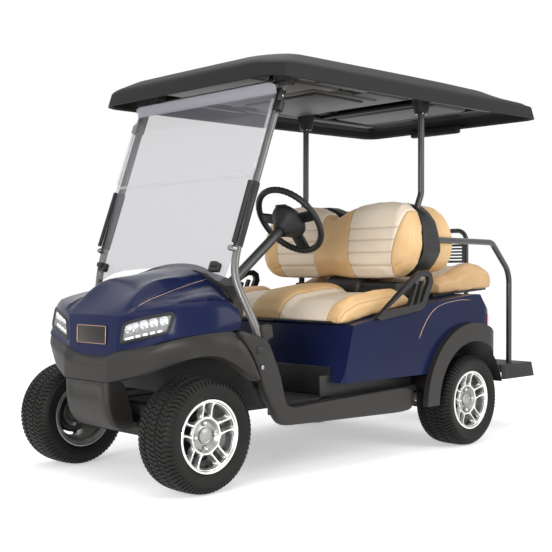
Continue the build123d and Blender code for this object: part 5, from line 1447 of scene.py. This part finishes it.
def vinyl_wires(edges, channels=(), seams=(), tans=(TAN_DEEP, TAN)):
    """Vinyl finish with painted shade in its channels: edges are the panel seams as (x, lean, middle height),
    channels as heights, in metres.
    """

    def wires(wire):
        place, (x, _, z) = surface_coordinates(wire)
        across = abs(x - SEAT_SHIFT * MM)
        grain = wire.node("ShaderNodeTexVoronoi", inputs={"Vector": place, "Scale": 420.0, "Randomness": 1.0})
        cloud = noise(wire, place, 6.0, 3.0)
        crease = noise(wire, place, 22.0, 3.0)
        beige_tone = ramp(wire, cloud, (0.3, BEIGE_DEEP), (0.7, BEIGE))
        tan_tone = ramp(wire, cloud, (0.3, tans[0]), (0.7, tans[1]))
        (inner, inner_lean, level), (outer, outer_lean, _) = edges
        inner_edge = (z - level) * inner_lean + inner
        outer_edge = (z - level) * outer_lean + outer
        panel = (across > inner_edge) * (across < outer_edge)
        seam = (abs(across - inner_edge) < 0.0016) + (abs(across - outer_edge) < 0.0016)
        for at in seams:
            seam = seam + (abs(across - at) < 0.0014)
        tone = panel.mix(tan_tone, beige_tone)
        # Painted shade: the panel is darkened toward brown along each channel, where its groove lies.
        for height in channels:
            groove_shade = ramp(wire, abs(z - height), (0.0, 0.45), (0.006, 0.0))
            tone = (groove_shade * panel).mix(tone, SEAM_AND_GROOVE_SHADE_BROWN)
        return {
            "Base Color": wire.sum("MINIMUM", seam * 0.7, 0.7).mix(tone, SEAM_AND_GROOVE_SHADE_BROWN),
            "Roughness": cloud * 0.1 + grain * 0.1 + 0.36,
            "Height": (grain * 0.6 + crease * 0.8, 0.00035),
        }

    return wires


# ---- front seat cushion
# It lies on the steel pan and tilts with it.
CUSHION_TOP = (
    (-382, 647), (-380, 692), (-348, 738), (-256, 776), (-60, 801), (60, 808), (108, 802), (136, 780),
    (142, 742)
)
CUSHION_BOTTOM = ((138, 722), (-100, 681), (-368, 638))
CUSHION_EDGES = ((0.097, 0.10, 0.66), (0.396, -0.02, 0.66))
CUSHION_END_SEAM = 0.482


def cushion_rise(x):
    across = abs(x - SEAT_SHIFT)
    middle = exp(-(across / 118) ** 6)
    end = ease(375, 440, across) * 0.5
    return -46 * (1 - middle - end)


def cushion_section(x):
    fade = 1 - 0.28 * max(0.0, (abs(x) - 458) / 82) ** 2.4
    loop = []
    for y, z in CUSHION_TOP:
        floor_z = between(((-380, 637), (138, 722)), y)
        high = ease(floor_z, floor_z + 80, z)
        loop.append((
            (y + 100) * (0.985 - 0.05 * (1 - fade)) - 100,
            floor_z + (z - floor_z) * fade + cushion_rise(x) * high - 3,
        ))
    return loop + list(CUSHION_BOTTOM)


vinyl_seat = material(
    "vinyl_seat", {"Specular IOR Level": 0.35}, vinyl_wires(CUSHION_EDGES, seams=(CUSHION_END_SEAM,))
)
stations = [-538, -530, -514, -490] + list(range(-464, 465, 29)) + [490, 514, 530, 538]
seat_cushion = plumped(
    stuffed("seat_cushion_core", stations, cushion_section, vinyl_seat), "seat_cushion_skin", 14 * MM, "seat"
)
sewn(seat_cushion, seam_depths(
    CUSHION_EDGES, 4.0, lambda normal: normal.z < -0.3,
    extra=lambda place, across, outer: groove(across - CUSHION_END_SEAM / MM, 4, 2.6),
))
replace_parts(seat_cushion, "seat_cushion")

# ---- front backrest
# It faces forward and is bolted to the shell behind it.
BACK_TOP = (
    (0, 1160), (40, 1172), (70, 1196), (150, 1226), (250, 1236), (340, 1234), (440, 1212), (486, 1162),
    (514, 1090), (525, 1000)
)
BACK_LOW = ((0, 832), (120, 820), (300, 820), (410, 826), (462, 848), (504, 904), (525, 985))
BACK_FRONT = ((838, 135), (880, 117), (925, 106), (1000, 112), (1100, 139), (1180, 165), (1236, 208))
BACK_REAR = ((830, 240), (1030, 262), (1238, 286))
BACK_CHANNELS = (0.900, 0.966, 1.028, 1.088)
BACK_EDGES = ((0.110, -0.10, 1.00), (0.398, 0.16, 1.00))


def backrest_section(x):
    across = abs(x)
    lobe = abs(x - SEAT_SHIFT * 0.6)
    top, low = between(BACK_TOP, across) - 6, between(BACK_LOW, across) + 6
    back = 60 * max(0.0, (across - 415) / 108) ** 2.2
    swell = 11 * (exp(-(lobe / 100) ** 4) + ease(385, 430, lobe))
    thin = 1 - 0.4 * max(0.0, (across - 445) / 80) ** 2
    loop = []
    for step in range(15):
        share = step / 14
        z = low + (top - low) * (0.5 - 0.5 * cos(pi * share))
        rounded = 26 * (abs(2 * share - 1) ** 6)
        loop.append((between(BACK_FRONT, z) + 8 + back - swell * sin(pi * share) + rounded, z))
    for step in range(15):
        share = 1 - step / 14
        z = low + (top - low) * (0.5 - 0.5 * cos(pi * share))
        rounded = 18 * (abs(2 * share - 1) ** 6)
        loop.append((between(BACK_REAR, z) - 4 - rounded - 34 * (1 - thin), z))
    return loop


vinyl_back = material("vinyl_back", {"Specular IOR Level": 0.35}, vinyl_wires(BACK_EDGES, BACK_CHANNELS))
stations = [-519, -511, -497, -475] + list(range(-447, 448, 25)) + [475, 497, 511, 519]
backrest = plumped(
    stuffed("backrest_front_core", stations, backrest_section, vinyl_back), "backrest_front_skin", 12 * MM
)


def bolster_seam(place, across, outer):
    """A seam along the side of each outer bolster, which leans back as it rises."""
    return groove(place.y - (150 + 0.28 * (place.z - 980)), 4.5, 3.0) if across > outer else 0.0


sewn(backrest, seam_depths(
    BACK_EDGES, 4.5, lambda normal: normal.y > 0.3, BACK_CHANNELS, bolster_seam
))
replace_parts(backrest, "backrest_front")

# ---- rear backrest
# It faces the rear, back to back with the front one on the same shell.
REAR_TOP = (
    (0, 1160), (70, 1190), (150, 1216), (310, 1228), (396, 1206), (440, 1146), (464, 1070), (470, 1010)
)
REAR_LOW = ((0, 858), (120, 850), (350, 850), (404, 866), (450, 916), (470, 1000))
REAR_BACK = ((840, 560), (880, 596), (920, 622), (1010, 648), (1070, 634), (1160, 574), (1232, 486))


def rear_back_section(x):
    across = abs(x)
    top, low = between(REAR_TOP, across) - 6, between(REAR_LOW, across) + 6
    end = 0.40 * max(0.0, (across - 330) / 134) ** 2.4
    swell = 9 * (exp(-(across / 90) ** 4) + ease(315, 360, across))
    loop = []
    for step in range(15):
        z = low + (top - low) * (0.5 - 0.5 * cos(pi * step / 14))
        loop.append((408 + 10 * abs(2 * step / 14 - 1) ** 6, z))
    for step in range(15):
        share = 1 - step / 14
        z = low + (top - low) * (0.5 - 0.5 * cos(pi * share))
        depth = between(REAR_BACK, z) - 408 - 10
        flat = 1 - 0.2 * abs(2 * share - 1) ** 6
        loop.append((408 + depth * (1 - end) * flat + swell * sin(pi * share), z))
    return loop


REAR_EDGES = ((0.092, -0.08, 1.00), (0.330, 0.05, 1.00))
REAR_CHANNELS = (0.930, 0.990, 1.050, 1.110)
vinyl_rear = material("vinyl_rear", {"Specular IOR Level": 0.35}, vinyl_wires(REAR_EDGES, REAR_CHANNELS))
stations = [-464, -456, -441, -418] + list(range(-390, 391, 26)) + [418, 441, 456, 464]
rear_back = plumped(
    stuffed("backrest_rear_core", stations, rear_back_section, vinyl_rear), "backrest_rear_skin", 11 * MM
)
sewn(rear_back, seam_depths(REAR_EDGES, 4.5, lambda normal: normal.y < -0.5, REAR_CHANNELS))
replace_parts(rear_back, "backrest_rear")

# ---- rear seat cushion
# It lies on the rear body over the axle.
REAR_SEAT_TOP = (
    (405, 775), (412, 820), (470, 836), (560, 845), (640, 875), (700, 900), (760, 910), (830, 907),
    (878, 890), (900, 846), (896, 804)
)
REAR_SEAT_BOTTOM = ((880, 791), (640, 776), (415, 763))


def rear_seat_section(x):
    across = abs(x)
    fade = 1 - 0.3 * max(0.0, (across - 422) / 74) ** 2.6
    rise = -16 * (1 - exp(-(across / 105) ** 4) - ease(330, 390, across))
    loop = []
    for y, z in REAR_SEAT_TOP:
        floor_z = between(((402, 759), (893, 789)), y)
        high = ease(floor_z, floor_z + 60, z)
        loop.append((
            (y - 650) * (0.98 - 0.06 * (1 - fade)) + 650,
            floor_z + (z - floor_z) * fade + rise * high - 2,
        ))
    return loop + list(REAR_SEAT_BOTTOM)


REAR_SEAT_EDGES = ((0.092, 0.0, 0.80), (0.352, 0.0, 0.80))
# A darker copy of the tan vinyl for the rear cushion: painted shade.
REAR_SHADED_TANS = ((0.560, 0.350, 0.165), (0.630, 0.415, 0.215))
vinyl_rear_seat = material(
    "vinyl_rear_seat", {"Specular IOR Level": 0.3}, vinyl_wires(REAR_SEAT_EDGES, tans=REAR_SHADED_TANS)
)
stations = [-490, -483, -468, -446] + list(range(-420, 421, 28)) + [446, 468, 483, 490]
rear_seat = plumped(
    stuffed("rear_cushion_core", stations, rear_seat_section, vinyl_rear_seat), "rear_cushion_skin", 12 * MM
)
sewn(rear_seat, seam_depths(
    REAR_SEAT_EDGES, 4.0, lambda normal: normal.z < -0.4,
    extra=lambda place, across, outer: groove(place.y - 549, 4.5, 3.4) if across > 380 else 0.0,
))
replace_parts(rear_seat, "rear_cushion")

# ---------------------------------------------------------------- roof
# Moulded black canopy with a bevelled edge, an upright band below it and a rolled lip.
# Rounded bosses take the struts and rear posts. Pans, rails and pockets stiffen its underside.
ROOF_LEVELS = (
    # inset from the outline, corner radius, height above the lip at the side, share of the crown
    (10, 70, 4, 0), (4, 76, -1, 0), (0, 80, 3, 0), (1, 82, 12, 0), (6, 96, 56, 0), (10, 104, 66, 0),
    (20, 118, 78, 0), (74, 160, 119, 0.35), (98, 180, 128, 0.6), (150, 200, 140, 0.85),
)
ROOF_INSIDE = (
    (14, 66, 8, 0), (18, 64, 44, 0), (30, 60, 62, 0), (70, 60, 66, 0), (84, 60, 82, 0.4), (160, 90, 90, 0.8),
)
ROOF_LOW = ((-868, 1665), (-678, 1668), (-9, 1677), (600, 1689), (1175, 1703))
ROOF_HIGH = (
    (-868, 1742), (-810, 1774), (-651, 1789), (23, 1811), (600, 1811), (872, 1799), (1060, 1772),
    (1175, 1747)
)
ROOF_FRONT, ROOF_BACK, ROOF_HALF = -868, 1175, 600
TOP_SUNK, UNDER_SUNK = 2, 22


def roof_ring(inset, radius, lift, crown, under):
    """Points round the roof at one level, from the middle of its front edge, on the left side only."""
    half, front, back = ROOF_HALF - inset, ROOF_FRONT + inset, ROOF_BACK - inset
    plan = [(0, front), (half * 0.35, front), (half * 0.7, front + 2)]
    tuck = 34
    for step in range(9):
        spin = radians(90 * step / 8)
        plan.append((
            half - radius + radius * sin(spin),
            front + radius - radius * cos(spin) + tuck * 0.2 * sin(spin),
        ))
    nearest, farthest = front + radius + 60, back - radius - 60
    plan += [(half, y) for y in (-500, -200, 100, 400, 700, 920) if nearest < y < farthest]
    plan += [(half, 960)] if back - radius > 1000 else []
    for step in range(9):
        spin = radians(90 * step / 8)
        plan.append((
            half - radius * 0.9 + radius * 0.9 * cos(spin), back - radius * 0.9 + radius * 0.9 * sin(spin)
        ))
    plan += [(half * 0.6, back), (half * 0.3, back), (0, back)]
    ring = []
    for x, y in plan:
        low, high = between(ROOF_LOW, y), between(ROOF_HIGH, y)
        z = low + lift
        if crown:
            z = z + (high - (UNDER_SUNK if under else TOP_SUNK) - z) * crown
        ring.append((x, y, min(z, high) if not under else z))
    return ring


def resampled(ring, count):
    """The same line with a fixed number of points, so that levels of different corners join up."""
    lengths = [0.0]
    for first, second in zip(ring, ring[1:]):
        lengths.append(lengths[-1] + (Vector(second) - Vector(first)).length)
    places = []
    for step in range(count):
        at = lengths[-1] * step / (count - 1)
        index = max(i for i in range(len(ring) - 1) if lengths[i] <= at + 1e-6)
        share = (at - lengths[index]) / (lengths[index + 1] - lengths[index])
        places.append(Vector(ring[index]).lerp(Vector(ring[index + 1]), share) * MM)
    return places


ROOF_DEEP = (0.0060, 0.0057, 0.0055)
ROOF_LIGHT = (0.0110, 0.0105, 0.0102)
roof_plastic = material("roof_plastic", {"Specular IOR Level": 0.22}, speckled(
    ((0.3, ROOF_DEEP), (0.75, ROOF_LIGHT)), (3.0, 4.0), (600.0, 2.0), (0.12, 0.14, 0.38), 0.00015
))
RING = 61
roof_points, roof_inside_points = [], []
for inset, radius, lift, crown in ROOF_LEVELS:
    roof_points += resampled(roof_ring(inset, radius, lift, crown, False), RING)
for inset, radius, lift, crown in ROOF_INSIDE:
    roof_inside_points += resampled(roof_ring(inset, radius, lift, crown, True), RING)
for points, sunk in ((roof_points, TOP_SUNK), (roof_inside_points, UNDER_SUNK)):
    points += [
        Vector((0, point.y, (between(ROOF_HIGH, point.y / MM) - sunk) * MM)) for point in points[-RING:]
    ]
roof_top = piece_of(
    "roof_top", roof_points, net_faces(len(ROOF_LEVELS) + 1, RING), roof_plastic
)
roof_under = piece_of(
    "roof_under", roof_inside_points, net_faces(len(ROOF_INSIDE) + 1, RING), roof_plastic
)
roof_edge = piece_of(
    "roof_edge", roof_points[:RING] + roof_inside_points[:RING], net_faces(2, RING), roof_plastic,
)
roof = joined([roof_top, roof_under, roof_edge], "roof_skin")
with mesh_of(roof) as work:
    bmesh.ops.remove_doubles(work, verts=work.verts, dist=1e-5)
    whole = list(work.verts) + list(work.edges) + list(work.faces)
    bmesh.ops.mirror(work, geom=whole, axis="X", merge_dist=1e-4)
    bmesh.ops.remove_doubles(work, verts=work.verts, dist=1e-4)
    borders = [edge for edge in work.edges if len(edge.link_faces) == 1]
    bmesh.ops.holes_fill(work, edges=borders, sides=0)
    bmesh.ops.recalc_face_normals(work, faces=work.faces)
shaded(roof, 24)
roof_bits = [roof]
for hand in (-1, 1):
    for name, x, y, low, radius in (("front", 474, -682, 1660, 46), ("rear", 400, 373, 1664, 42)):
        roof_bits.append(turned(
            f"roof_boss_{name}_{hand}",
            tuple((along * MM, out * MM) for along, out in (
                (0, 0.1), (0, radius - 16), (3, radius - 10), (10, radius - 5), (40, radius),
                (88, radius + 8), (102, radius + 30),
            )),
            Vector((x * hand, y, low)) * MM, (0, 0, 1), roof_plastic, sides=28, angle=40,
        ))
        for spin in (35, 145, 215, 325):
            roof_bits.append(turned(
                f"roof_screw_{name}_{hand}_{spin}",
                ((0, 0.0001), (0, 0.0042), (0.003, 0.0050), (0.006, 0.0050)),
                Vector((x * hand + 24 * cos(radians(spin)), y + 24 * sin(radians(spin)), low - 3)) * MM,
                (0, 0, 1), zinc, sides=10,
            ))
for name, size, place in (
    ("console", (0.60, 0.150, 0.070), (0.08, -0.735, 1.724)),
    ("pan_front", (0.72, 0.300, 0.050), (0.0, -0.33, 1.742)),
    ("pan_mid", (0.78, 0.330, 0.060), (0.0, 0.12, 1.752)),
    ("pan_rear", (0.70, 0.300, 0.050), (0.0, 0.70, 1.760)),
):
    roof_bits.append(block(f"roof_{name}", size, place, None, grey_plastic, 0.024, segments=4))
for name, size, place, radius in (
    ("tray", (0.60, 0.480, 0.050), (0.0, -0.07, 1.738), 0.022),
    ("pocket", (0.50, 0.340, 0.014), (0.0, -0.07, 1.711), 0.006),
    ("slot_left", (0.044, 0.330, 0.012), (0.43, -0.25, 1.716), 0.005),
    ("slot_right", (0.044, 0.330, 0.012), (-0.43, -0.25, 1.716), 0.005),
):
    finish = grey_plastic if name == "tray" else black_plastic
    roof_bits.append(block(f"roof_{name}", size, place, None, finish, radius, segments=3))
for x in (-0.43, 0.43):
    roof_bits.append(block(
        f"roof_rail_{x}", (0.060, 1.50, 0.030), (x, 0.22, 1.742), Matrix.Rotation(radians(0.9), 3, "X"),
        grey_plastic, 0.010, segments=3,
    ))
for y in (-0.52, -0.12, 0.33, 0.52, 0.92):
    roof_bits.append(block(
        f"roof_rib_{y}", (1.02, 0.036, 0.022), (0, y, 1.744 + 0.016 * y), None, roof_plastic, 0.008,
        segments=3,
    ))
roof_bits.append(block(
    "roof_drop_lip", (0.34, 0.040, 0.052), (-0.06, 1.118, 1.698), None, roof_plastic, 0.012, segments=3
))
roof = joined(roof_bits, "roof_dressed")
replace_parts(roof, "roof")

# ---------------------------------------------------------------- steering wheel
# Moulded wheel on a steel column: a ribbed grip round a thin rim, two broad side spokes and a lower
# one, and a deep bowl of a hub with a clip on top. It pinches to the column's splined end.
WHEEL_AXIS = Vector((0, cos(radians(38.2)), sin(radians(38.2))))
WHEEL_HUB = Vector((260, -425, 1106)) * MM - WHEEL_AXIS * 0.004
WHEEL_RADIUS = 0.170
wheel_side = Vector((1, 0, 0))
wheel_up = WHEEL_AXIS.cross(wheel_side) * -1
if wheel_up.z < 0:
    wheel_up = -wheel_up


def on_wheel(spin, radius, along=0.0):
    """A point of the steering wheel at an angle in degrees from its right, a radius and along its axis."""
    outward = wheel_side * cos(radians(spin)) + wheel_up * sin(radians(spin))
    return WHEEL_HUB + outward * radius + WHEEL_AXIS * along


rim_line, rim_thickness = [], []
for step in range(144):
    spin = 360 * step / 144
    ribbed = 0.0008 * (1 if step % 3 else -1) if 20 < spin % 180 < 160 else 0.0
    rim_line.append(on_wheel(spin, WHEEL_RADIUS))
    rim_thickness.append(0.0142 + ribbed)
wheel_bits = [sweep("wheel_rim", rim_line, rim_thickness, black_plastic, "steering", closed=True, sides=16)]
wheel_bits.append(turned(
    "wheel_bowl",
    (
        (-0.085, 0.024), (-0.082, 0.034), (-0.062, 0.046), (-0.040, 0.066), (-0.022, 0.082), (-0.006, 0.088),
        (0.004, 0.086), (0.010, 0.078), (0.014, 0.050), (0.015, 0.0001),
    ),
    WHEEL_HUB, WHEEL_AXIS, black_plastic, "steering", sides=40, angle=50,
))
for spin in (8, 172, 270):
    outer, inner = on_wheel(spin, WHEEL_RADIUS - 0.008), on_wheel(spin, 0.060, -0.002)
    side = (outer - inner).normalized()
    turn = Matrix((side, WHEEL_AXIS.cross(side), WHEEL_AXIS)).transposed()
    broad = 0.070 if spin == 270 else 0.052
    wheel_bits.append(block(
        f"wheel_spoke_{spin}", ((outer - inner).length, broad, 0.016), (outer + inner) / 2, turn,
        black_plastic, 0.006, "steering", segments=3,
    ))
clip_turn = Matrix((wheel_side, wheel_up, WHEEL_AXIS)).transposed()
for name, size, radius in (
    ("clip", (0.046, 0.030, 0.034), 0.066),
    ("clip_bar", (0.066, 0.012, 0.014), 0.084),
):
    place = on_wheel(90, radius, -0.004)
    wheel_bits.append(block(f"wheel_{name}", size, place, clip_turn, black_plastic, 0.004, "steering"))
steering_wheel = joined(wheel_bits, "steering_wheel_dressed")
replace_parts(steering_wheel, "steering_wheel")

# ---------------------------------------------------------------- seat back shell and base cover
# Black moulded shell between the two backrests, and below it a rounded cover over the seat's frame.
# Both are screwed to the frame of the backrests.
SHELL_TOP = ((0, 1150), (150, 1216), (330, 1220), (420, 1194), (470, 1130), (494, 1050), (500, 990))
SHELL_LOW = ((0, 850), (360, 846), (430, 870), (480, 920), (500, 970))


def shell_section(x):
    across = abs(x)
    top, low = between(SHELL_TOP, across), between(SHELL_LOW, across)
    loop = []
    for front in (True, False):
        for step in range(9):
            share = step / 8 if front else 1 - step / 8
            z = low + (top - low) * (0.5 - 0.5 * cos(pi * share))
            bow = 12 * abs(2 * share - 1) ** 4
            front_y = between(((840, 250), (1030, 268), (1220, 296)), z) + bow
            rear_y = 402 - bow - 12 * max(0, (z - 1120) / 100)
            loop.append((front_y if front else rear_y, z))
    return loop


seat_shell = stuffed(
    "seat_shell", [-498, -488, -470] + list(range(-440, 441, 40)) + [470, 488, 498], shell_section,
    black_plastic
)
shaded(faces_aligned(seat_shell), 40)
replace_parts(seat_shell, "backrest_pod")
cover_bits = [
    block("hinge_cover", (0.250, 0.130, 0.125), (0.055, 0.225, 0.790), None, grey_plastic, 0.045, segments=5),
    block("hinge_box", (0.230, 0.110, 0.075), (0.285, 0.235, 0.782), None, black_plastic, 0.010, segments=3),
]
seat_cover = joined(cover_bits, "seat_hinge_cover")

# ---------------------------------------------------------------- tail lamps
# Red moulded lenses that wrap the rear corners above the flares.
# Each is held by two screws in a pocket of the rear body.
def red_wires(wire):
    place = surface_coordinates(wire)[0]
    ridges = wire.node(
        "ShaderNodeTexWave", {"wave_type": "BANDS", "bands_direction": "Z"},
        {"Vector": place, "Scale": 40.0}
    )
    return {
        "Base Color": ramp(wire, ridges, (0.2, (0.42, 0.012, 0.016)), (0.8, (0.55, 0.022, 0.026))),
        "Roughness": noise(wire, place, 60.0) * 0.08 + 0.12, "Height": (ridges, 0.0006),
    }


red_lens = material("red_lens", {"Coat Weight": 0.8, "Coat Roughness": 0.05}, red_wires)

# ---------------------------------------------------------------- pieces carried over from the frame
# The body, flares, floor, dash, tubes, step, armrests and underframe keep their own form.
# Their edges are broken to a moulded or bent radius, and each gets its own finish.
def floor_wires(wire):
    place, (_, y, _) = surface_coordinates(wire)
    ribs = wire.node(
        "ShaderNodeTexWave", {"wave_type": "BANDS", "bands_direction": "X"},
        {"Vector": place, "Scale": 16.0}
    )
    dust = noise(wire, place, 9.0, 5.0, 0.6)
    return {
        "Base Color": ramp(wire, dust, (0.3, (0.012, 0.0115, 0.011)), (0.8, (0.026, 0.024, 0.022))),
        "Roughness": dust * 0.2 + 0.5,
        "Height": (ribs * (y > -0.78) * 0.8 + noise(wire, place, 600.0), 0.0012),
    }


POWDER_DEEP = (0.026, 0.026, 0.026)
POWDER_LIGHT = (0.042, 0.041, 0.040)
STEEL_DEEP = (0.016, 0.015, 0.014)
STEEL_LIGHT = (0.045, 0.040, 0.034)
CAST_DEEP = (0.10, 0.10, 0.10)
CAST_LIGHT = (0.20, 0.20, 0.19)
powder_coat = material("powder_coat", {"Metallic": 0.2, "Coat Weight": 0.3, "Coat Roughness": 0.2}, speckled(
    ((0.3, POWDER_DEEP), (0.75, POWDER_LIGHT)), (7.0, 4.0), (800.0, 2.0), (0.12, 0.12, 0.3), 0.0001
))
frame_steel = material("frame_steel", {"Metallic": 0.3}, speckled(
    ((0.3, STEEL_DEEP), (0.8, STEEL_LIGHT)), (20.0, 5.0, 0.6), (300.0, 3.0), (0.0, 0.3, 0.4), 0.0003
))
cast_alloy = material("cast_alloy", {"Metallic": 0.7}, speckled(
    ((0.3, CAST_DEEP), (0.8, CAST_LIGHT)), (30.0, 5.0, 0.6), (500.0, 3.0), (0.0, 0.3, 0.45), 0.0004
))
floor_rubber = material("floor_rubber", {"Specular IOR Level": 0.35}, floor_wires)
case_black = material("case_black", {"Specular IOR Level": 0.4}, black_wires)
NODE_FINISH = {
    "navy_paint": navy_paint, "grey_moulding": grey_plastic, "black_moulding": black_plastic,
    "roof_black": roof_plastic, "dark_tube": powder_coat, "underframe": frame_steel,
    "clear_screen": tinted, "vinyl": vinyl_seat, "seat_board": black_plastic, "lamp_lens": lens_clear,
    "red_lens": red_lens, "battery_case": case_black, "cast_housing": cast_alloy, "alloy": bright_alloy,
    "tyre_rubber": rubber,
}
NODE_SPECIAL = {"floor": floor_rubber, "step": floor_rubber}
EDGE_BREAK = {
    # how far each node's edges are broken, in millimetres
    "body": 5.0, "flare_left": 9.0, "flare_right": 9.0, "armrest_left": 4.0, "armrest_right": 4.0,
    "step": 5.0, "dash": 6.0, "kick_panel": 4.0, "floor": 3.0, "seat_pod": 6.0,
    "tail_lamp_left": 6.0, "tail_lamp_right": 6.0, "batteries": 4.0, "motor": 4.0, "frame": 1.6,
    "seat_pan": 3.0, "rear_seat_base": 3.0,
}
slots = {entry["node"]: entry["material_slot"] for entry in frame["record"]["subparts"]}
for name, piece in nodes.items():
    piece.data.materials.clear()
    piece.data.materials.append(NODE_SPECIAL.get(name, NODE_FINISH[slots[name]]))
    if name.startswith(("tyre_", "rim_")):
        continue
    weld = piece.modifiers.new("weld", "WELD")
    weld.merge_threshold = 0.00005
    if name in EDGE_BREAK:
        soft_edge = piece.modifiers.new("edge", "BEVEL")
        soft_edge.width = EDGE_BREAK[name] * MM
        soft_edge.segments = 3
        soft_edge.limit_method = "ANGLE"
        soft_edge.angle_limit = radians(28)
        soft_edge.harden_normals = False
        soft_edge.use_clamp_overlap = True
    piece.data.polygons.foreach_set("use_smooth", [True] * len(piece.data.polygons))
    even = piece.modifiers.new("even", "WEIGHTED_NORMAL")
    even.keep_sharp = True
